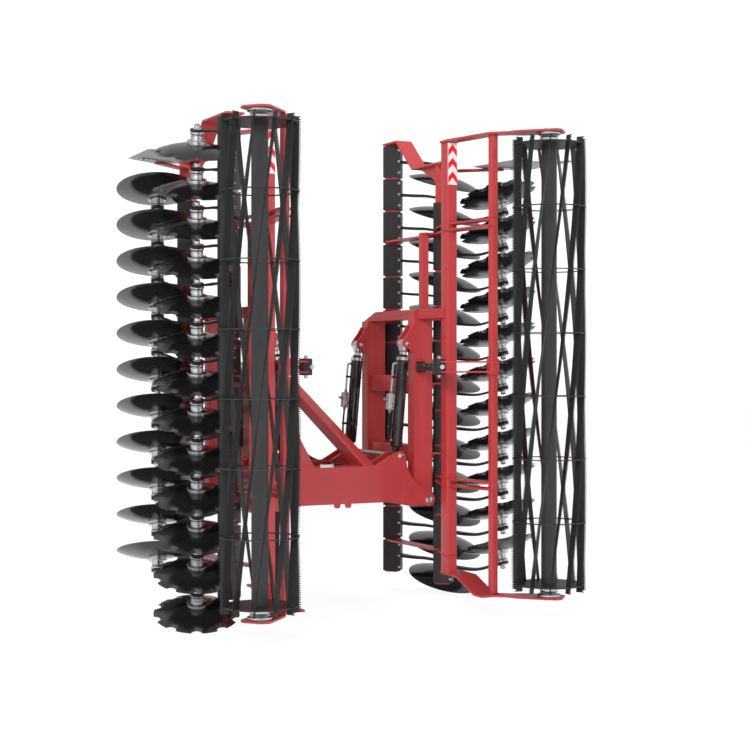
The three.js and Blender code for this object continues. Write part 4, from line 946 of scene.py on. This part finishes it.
def centreShapes():
    # plates, rails and posts are outlines carried straight; the cross plate's right half is mirrored
    half = [(0.235, plateTop - 0.004), (0.400, 1.095), (0.445, 1.104), (0.474, 1.080), (0.490, 0.985),
            (0.540, 0.900), (0.650, 0.815), (0.706, 0.790), (0.718, 0.748), (0.704, plateBottom),
            (0.500, plateBottom), (0.330, plateBottom + 0.032)]
    outline = rounded(half + [(-x, z) for x, z in half[::-1]], 0.030, 4)
    parts = []
    for y in (rearPlane, frontPlane):
        for low in (y - gap - plate, y + gap):
            parts.append(plateAlongY(outline, low, low + plate, 0.003))
        parts.append(plateAlongY(rounded(rectangle(0.780, 0.190, 0, 0.860), 0.012, 3), y - gap - 0.001,
                                 y + gap + 0.001))
        # spacer tubes between the plates at each cylinder lug and above each pivot
        for x, z, radius in ((0.400, 0.955, 0.022), (0.560, 0.800, 0.020)):
            for way in (-1, 1):
                parts.append(rod((way * x, y - gap - 0.001, z), (way * x, y + gap + 0.001, z), radius, 20))
        for x in (-pivot["x"], pivot["x"]):
            for low, way in ((y - gap - plate, -1), (y + gap + plate, 1)):
                boss = lathe([(0.040, 0), (0.046, 0), (0.046, 0.005), (0.043, 0.008), (0.030, 0.008)], 32)
                parts.append(turned(boss, (x, low, pivot["z"]), (0, way, 0)))
    for x in (-rails["x"], rails["x"]):
        parts.append(boxShape(x - rails["width"] / 2, x + rails["width"] / 2, rearPlane, hitchY,
                              rails["bottom"], rails["top"], 0.012, 0.003))
    reach, side = linkX + 0.065, headstock["side"]
    parts.append(turned(prism(rounded(rectangle(side, side), 0.014, 4), -reach, reach, 0.003),
                        (0, hitchY, hitchZ), (1, 0, 0), side=(0, 1, 0)))
    cheek = rounded([(hitchY, hitchZ + 0.075), (hitchY + 0.100, hitchZ + 0.075),
                     (hitchY + 0.180, linkZ + 0.045), (hitchY + 0.180, linkZ - 0.045),
                     (hitchY + 0.140, linkZ - 0.075), (hitchY, hitchZ - 0.100)], 0.020, 4)
    for way in (-1, 1):
        for offset in (-1, 1):
            middle = way * linkX + offset * 0.055
            parts.append(plateAlongX(cheek, middle - 0.010, middle + 0.010))
    mast = rounded([(hitchY - 0.06, hitchZ), (hitchY + 0.06, hitchZ), (hitchY + 0.15, topZ - 0.05),
                    (hitchY + 0.15, topZ + 0.03), (hitchY + 0.10, topZ + 0.06), (hitchY, topZ + 0.06),
                    (hitchY - 0.06, topZ)], 0.030, 4)
    for way in (-1, 1):
        parts.append(plateAlongX(mast, way * 0.080 - 0.010, way * 0.080 + 0.010))
        foot, head = (way * 0.235, rearPlane, plateTop - 0.06), (way * 0.100, hitchY, topZ)
        parts.append(squareBar(foot, head, 0.090, 0.012, 0.003))
    parts.append(boxShape(-0.081, 0.081, hitchY - 0.04, hitchY + 0.02, topZ - 0.06, topZ + 0.03, 0.006))
    # lugs for the parking stand, the tie between the rails, two tabs under the rear plate
    lug = rounded([(hitchY - 0.07, hitchZ - 0.05), (1.407, hitchZ - 0.05), (1.407, 0.707), (1.382, 0.674),
                   (1.342, 0.674), (1.324, 0.712)], 0.012, 3)
    for way in (-1, 1):
        parts.append(plateAlongX(lug, way * 0.037 - 0.010, way * 0.037 + 0.010))
    parts.append(boxShape(-0.235, 0.235, 0.600, 0.680, 0.800, 0.930, 0.010, 0.003))
    tab = rounded([(-0.024, 0.765), (0.024, 0.765), (0.024, 0.728), (0.012, 0.716), (-0.012, 0.716),
                   (-0.024, 0.728)], 0.008, 3)
    for x in (-0.058, 0.026):
        parts.append(plateAlongY(tab + [x, 0], rearPlane - gap - plate + 0.004, rearPlane - gap - 0.004,
                                 0.001))
    return parts


stand = {"pin": (1.362, 0.712), "pinRadius": 0.012, "lean": (0.040, -0.712), "foot": (1.400, 0.011),
         "width": 0.050, "holes": (0.20, 0.27, 0.34, 0.41)}


def centreTrimShapes():
    # pins and fittings, turned or bent along curves; finish 0 is zinc, 1 charcoal, 2 rubber
    parts = []
    for y in (rearPlane, frontPlane):
        for x in (-pivot["x"], pivot["x"]):
            for way in (-1, 1):
                start = y + way * (gap + plate + 0.008)
                parts += pinEnd(x, start, pivot["z"], way, 0.026)
                parts.append(rod((x, start - way * 0.03, pivot["z"]), (x, start + way * 0.005, pivot["z"]),
                                 0.026, 28))
    # link pins with a handle and a linch pin, and the top link's pin
    for way in (-1, 1):
        spot = np.array([way * linkX, hitchY + 0.135, linkZ])
        parts.append(rod(spot - [0.090, 0, 0], spot + [0.090, 0, 0], 0.0185, 24))
        parts.append(pipe([spot + [way * 0.086, 0, 0.010], spot + [way * 0.100, 0, 0.050],
                           spot + [way * 0.100, -0.020, 0.085], spot + [way * 0.086, -0.050, 0.060]], 0.005,
                          10))
    top = np.array([0, hitchY + 0.105, topZ])
    parts.append(rod(top - [0.105, 0, 0], top + [0.105, 0, 0], 0.016, 24))
    parts.append(pipe([top + [0.100, 0, 0.008], top + [0.114, 0, 0.045], top + [0.114, -0.015, 0.080],
                       top + [0.100, -0.050, 0.060]], 0.005, 10))
    # the stand's pin
    pinY, pinZ = stand["pin"]
    parts.append(rod((-0.056, pinY, pinZ), (0.056, pinY, pinZ), stand["pinRadius"], 20))
    parts.append(turned(lathe([(0.012, 0), (0.020, 0), (0.020, 0.005), (0.014, 0.008)], 20),
                        (0.048, pinY, pinZ), (1, 0, 0)))
    # small bar that carries the lamps' plug, on the rear plate's top edge
    parts.append(boxShape(-0.192, -0.086, rearPlane - 0.078, rearPlane - 0.062, 1.000, 1.022, 0.004, 0.001))
    for x in (-0.180, -0.098):
        parts.append(moved(hexBolt(0.006, 0), x, rearPlane - 0.070, 1.022))
    return parts


hoses = {"radius": 0.011, "perSide": 2, "lift": 0.018, "inward": 0.030, "clips": (0.560, 0.800, 1.080)}


def hoseShapes():
    # hoses run along smooth curves from the headstock over the rails to each pair of cylinders
    parts = []
    for way in (-1, 1):
        for k in range(hoses["perSide"]):
            lift, inward = hoses["lift"] * k, hoses["inward"] * k
            x = way * (0.255 - inward)
            parts.append(pipe([(way * (0.130 - inward), hitchY - 0.085, 1.140),
                               (way * (0.150 - inward), 1.240, 1.060), (x, 1.130, 0.975 + lift),
                               (x, 0.900, 0.962 + lift), (x, 0.700, 0.960 + lift), (x, 0.500, 0.962 + lift),
                               (x, 0.360, 0.975 + lift)], hoses["radius"], 14, 2))
            for y in hoses["clips"]:
                parts.append(boxShape(x - 0.016, x + 0.016, y - 0.012, y + 0.012, 0.940, 0.958 + lift,
                                      0.003, 0.001, 1))
    # plug-in couplings on a rack beside the mast
    parts.append(plateAlongX(rounded([(hitchY - 0.12, 1.10), (hitchY - 0.02, 1.10), (hitchY - 0.02, 1.19),
                                      (hitchY - 0.12, 1.19)], 0.010, 3), -0.160, 0.160, 0.002, 1))
    return parts


makePiece("centre_weldment", centreShapes(), [redPaint], "frame", ["centre_frame"])
makePiece("centre_pins_and_trim", centreTrimShapes(), [boltZinc, charcoal, rubber], "frame")
makePiece("centre_hoses", hoseShapes(), [boltZinc, charcoal, rubber], "frame")


def standShapes():
    # a square leg from its pin down to the foot plate, a collar, a latch pin, and rings round its holes
    pinY, pinZ = stand["pin"]
    legTop, half = np.array(stand["pin"]) - unit(stand["lean"]) * 0.030, stand["width"] / 2
    leg = plateAlongX(band([legTop, stand["foot"]], stand["width"]), -half, half, 0.004, 0)
    foot = boxShape(-0.090, 0.090, 1.312, 1.492, 0.0, 0.012, 0.030, 0.003, 0)
    collar = boxShape(-0.032, 0.032, 1.370, 1.434, 0.0115, 0.045, 0.006, 0.003, 0)
    latch = rod((-0.034, 1.371, 0.560), (0.034, 1.371, 0.560), 0.008, 16, finish=1)
    ring = lathe([(0.006, 0), (0.0095, 0.0005), (0.0095, 0.0015), (0.006, 0.002)], 16, 1)
    slope = 0.0562  # how far the leg goes forward for each metre down
    rings = [turned(ring, (half - 0.0005, pinY + slope * (pinZ - z), z), (1, 0, 0)) for z in stand["holes"]]
    return [leg, foot, collar, latch] + rings


makePiece("parking_stand_leg", standShapes(), [charcoal, boltZinc], "parking_stand",
          ["parking_stand"])
print("stage: centre", flush=True)


# Floor, backdrop and light; the floor's glow is under 1, so that it keeps the shadow.
studio = {"floorTone": 0.82, "floorGlow": 0.80, "wallTone": 0.90, "wallGlow": 1.0, "white": 1.14,
          "ambient": 0.55}
lamps = {"keyLight": {"spot": (-7.5, -8.0, 6.5), "aim": (0, 0, 1.5), "size": 4.0, "power": 900},
         "fillLight": {"spot": (6.0, -7.5, 3.0), "aim": (0, 0, 1.6), "size": 5.0, "power": 260},
         "topLight": {"spot": (0.5, 3.0, 9.0), "aim": (0, 0, 1.0), "size": 5.0, "power": 350}}


def studioSurface(name, tone, glow):
    # seen directly it is white less its own shadow; to everything else it is a pale matt surface
    finish = bpy.data.materials.new(name)
    finish.use_nodes = True
    tree = finish.node_tree
    tree.nodes.clear()
    place = addNode(tree, "TexCoord").outputs["Object"]
    cloud = addNode(tree, "TexNoise", {"Vector": place, "Scale": 1.5, "Detail": 3.0}).outputs["Fac"]
    level = math2(tree, "MULTIPLY_ADD", math2(tree, "SUBTRACT", cloud, 0.5), 0.015, tone)
    grey = addNode(tree, "CombineColor", {0: level, 1: level, 2: level}).outputs[0]
    matt = addNode(tree, "BsdfDiffuse", {"Color": grey})
    white = addNode(tree, "Emission", {"Color": (1, 1, 1, 1), "Strength": studio["white"]})
    ray = addNode(tree, "LightPath")
    seen = math2(tree, "MAXIMUM", ray.outputs["Is Camera Ray"], ray.outputs["Is Transmission Ray"])
    share = math2(tree, "MULTIPLY", seen, glow)
    mixed = addNode(tree, "MixShader", {0: share, 1: matt.outputs[0], 2: white.outputs[0]})
    out = tree.nodes.new("ShaderNodeOutputMaterial")
    tree.links.new(mixed.outputs[0], out.inputs["Surface"])
    return finish


def stageSheet(name, points, finish):
    mesh = bpy.data.meshes.new(name)
    mesh.from_pydata(points, [], [(0, 1, 2, 3)])
    mesh.materials.append(finish)
    sheet = bpy.data.objects.new(name, mesh)
    bpy.context.scene.collection.objects.link(sheet)
    return sheet


floorFinish = studioSurface("studioFloor", studio["floorTone"], studio["floorGlow"])
wallFinish = studioSurface("studioWall", studio["wallTone"], studio["wallGlow"])
stageSheet("studio_floor", [(-40, -40, 0), (40, -40, 0), (40, 40, 0), (-40, 40, 0)], floorFinish)
stageSheet("studio_backdrop", [(-60, 39, -1), (60, 39, -1), (60, 39, 45), (-60, 39, 45)], wallFinish)

world = bpy.data.worlds.new("studioWorld")
bpy.context.scene.world = world
world.use_nodes = True
tree = world.node_tree
tree.nodes.clear()
ray = addNode(tree, "LightPath")
shown = math2(tree, "MAXIMUM", ray.outputs["Is Camera Ray"], ray.outputs["Is Transmission Ray"])
# reflected sky: white at the horizon, greyer overhead
height = addNode(tree, "SeparateXYZ", {0: addNode(tree, "TexCoord").outputs["Generated"]}).outputs["Z"]
fade = addNode(tree, "MapRange", {"Value": height, "From Min": 0.15, "From Max": 0.9, "To Min": 0.95,
                                  "To Max": 0.35})
brighter = math2(tree, "SUBTRACT", fade.outputs[0], studio["ambient"])
reflected = math2(tree, "MULTIPLY", ray.outputs["Is Glossy Ray"], brighter)
ambient = math2(tree, "ADD", reflected, studio["ambient"])
strength = math2(tree, "ADD", math2(tree, "MULTIPLY", shown, 1.0),
                 math2(tree, "MULTIPLY", math2(tree, "SUBTRACT", 1.0, shown), ambient))
sky = addNode(tree, "Background", {"Color": (1, 1, 1, 1), "Strength": strength})
worldOut = tree.nodes.new("ShaderNodeOutputWorld")
tree.links.new(sky.outputs[0], worldOut.inputs["Surface"])


def softLight(name, spot, aim, size, power):
    # a round area lamp that looks from spot at aim
    lamp = bpy.data.lights.new(name, "AREA")
    lamp.shape, lamp.size, lamp.energy = "DISK", size, power
    holder = bpy.data.objects.new(name, lamp)
    bpy.context.scene.collection.objects.link(holder)
    holder.location = spot
    holder.rotation_euler = (Vector(aim) - Vector(spot)).to_track_quat("-Z", "Y").to_euler()
    holder.visible_glossy = False  # metal reflects the white room, not the lamps


for name, lamp in lamps.items():
    softLight(name, **lamp)

view = {"spot": (-4.7785, -9.848, 1.691), "down": 0.2746, "right": 27.2005, "lens": 75.216}
camera = bpy.data.objects.new("rearLeftView", bpy.data.cameras.new("rearLeftView"))
bpy.context.scene.collection.objects.link(camera)
camera.location = view["spot"]
camera.rotation_euler = (math.radians(90 - view["down"]), 0, math.radians(-view["right"]))
camera.data.lens, camera.data.sensor_width, camera.data.clip_end = view["lens"], 36.0, 200.0
bpy.context.scene.camera = camera
bpy.context.scene.view_settings.view_transform = "Standard"
print("stage: studio", flush=True)
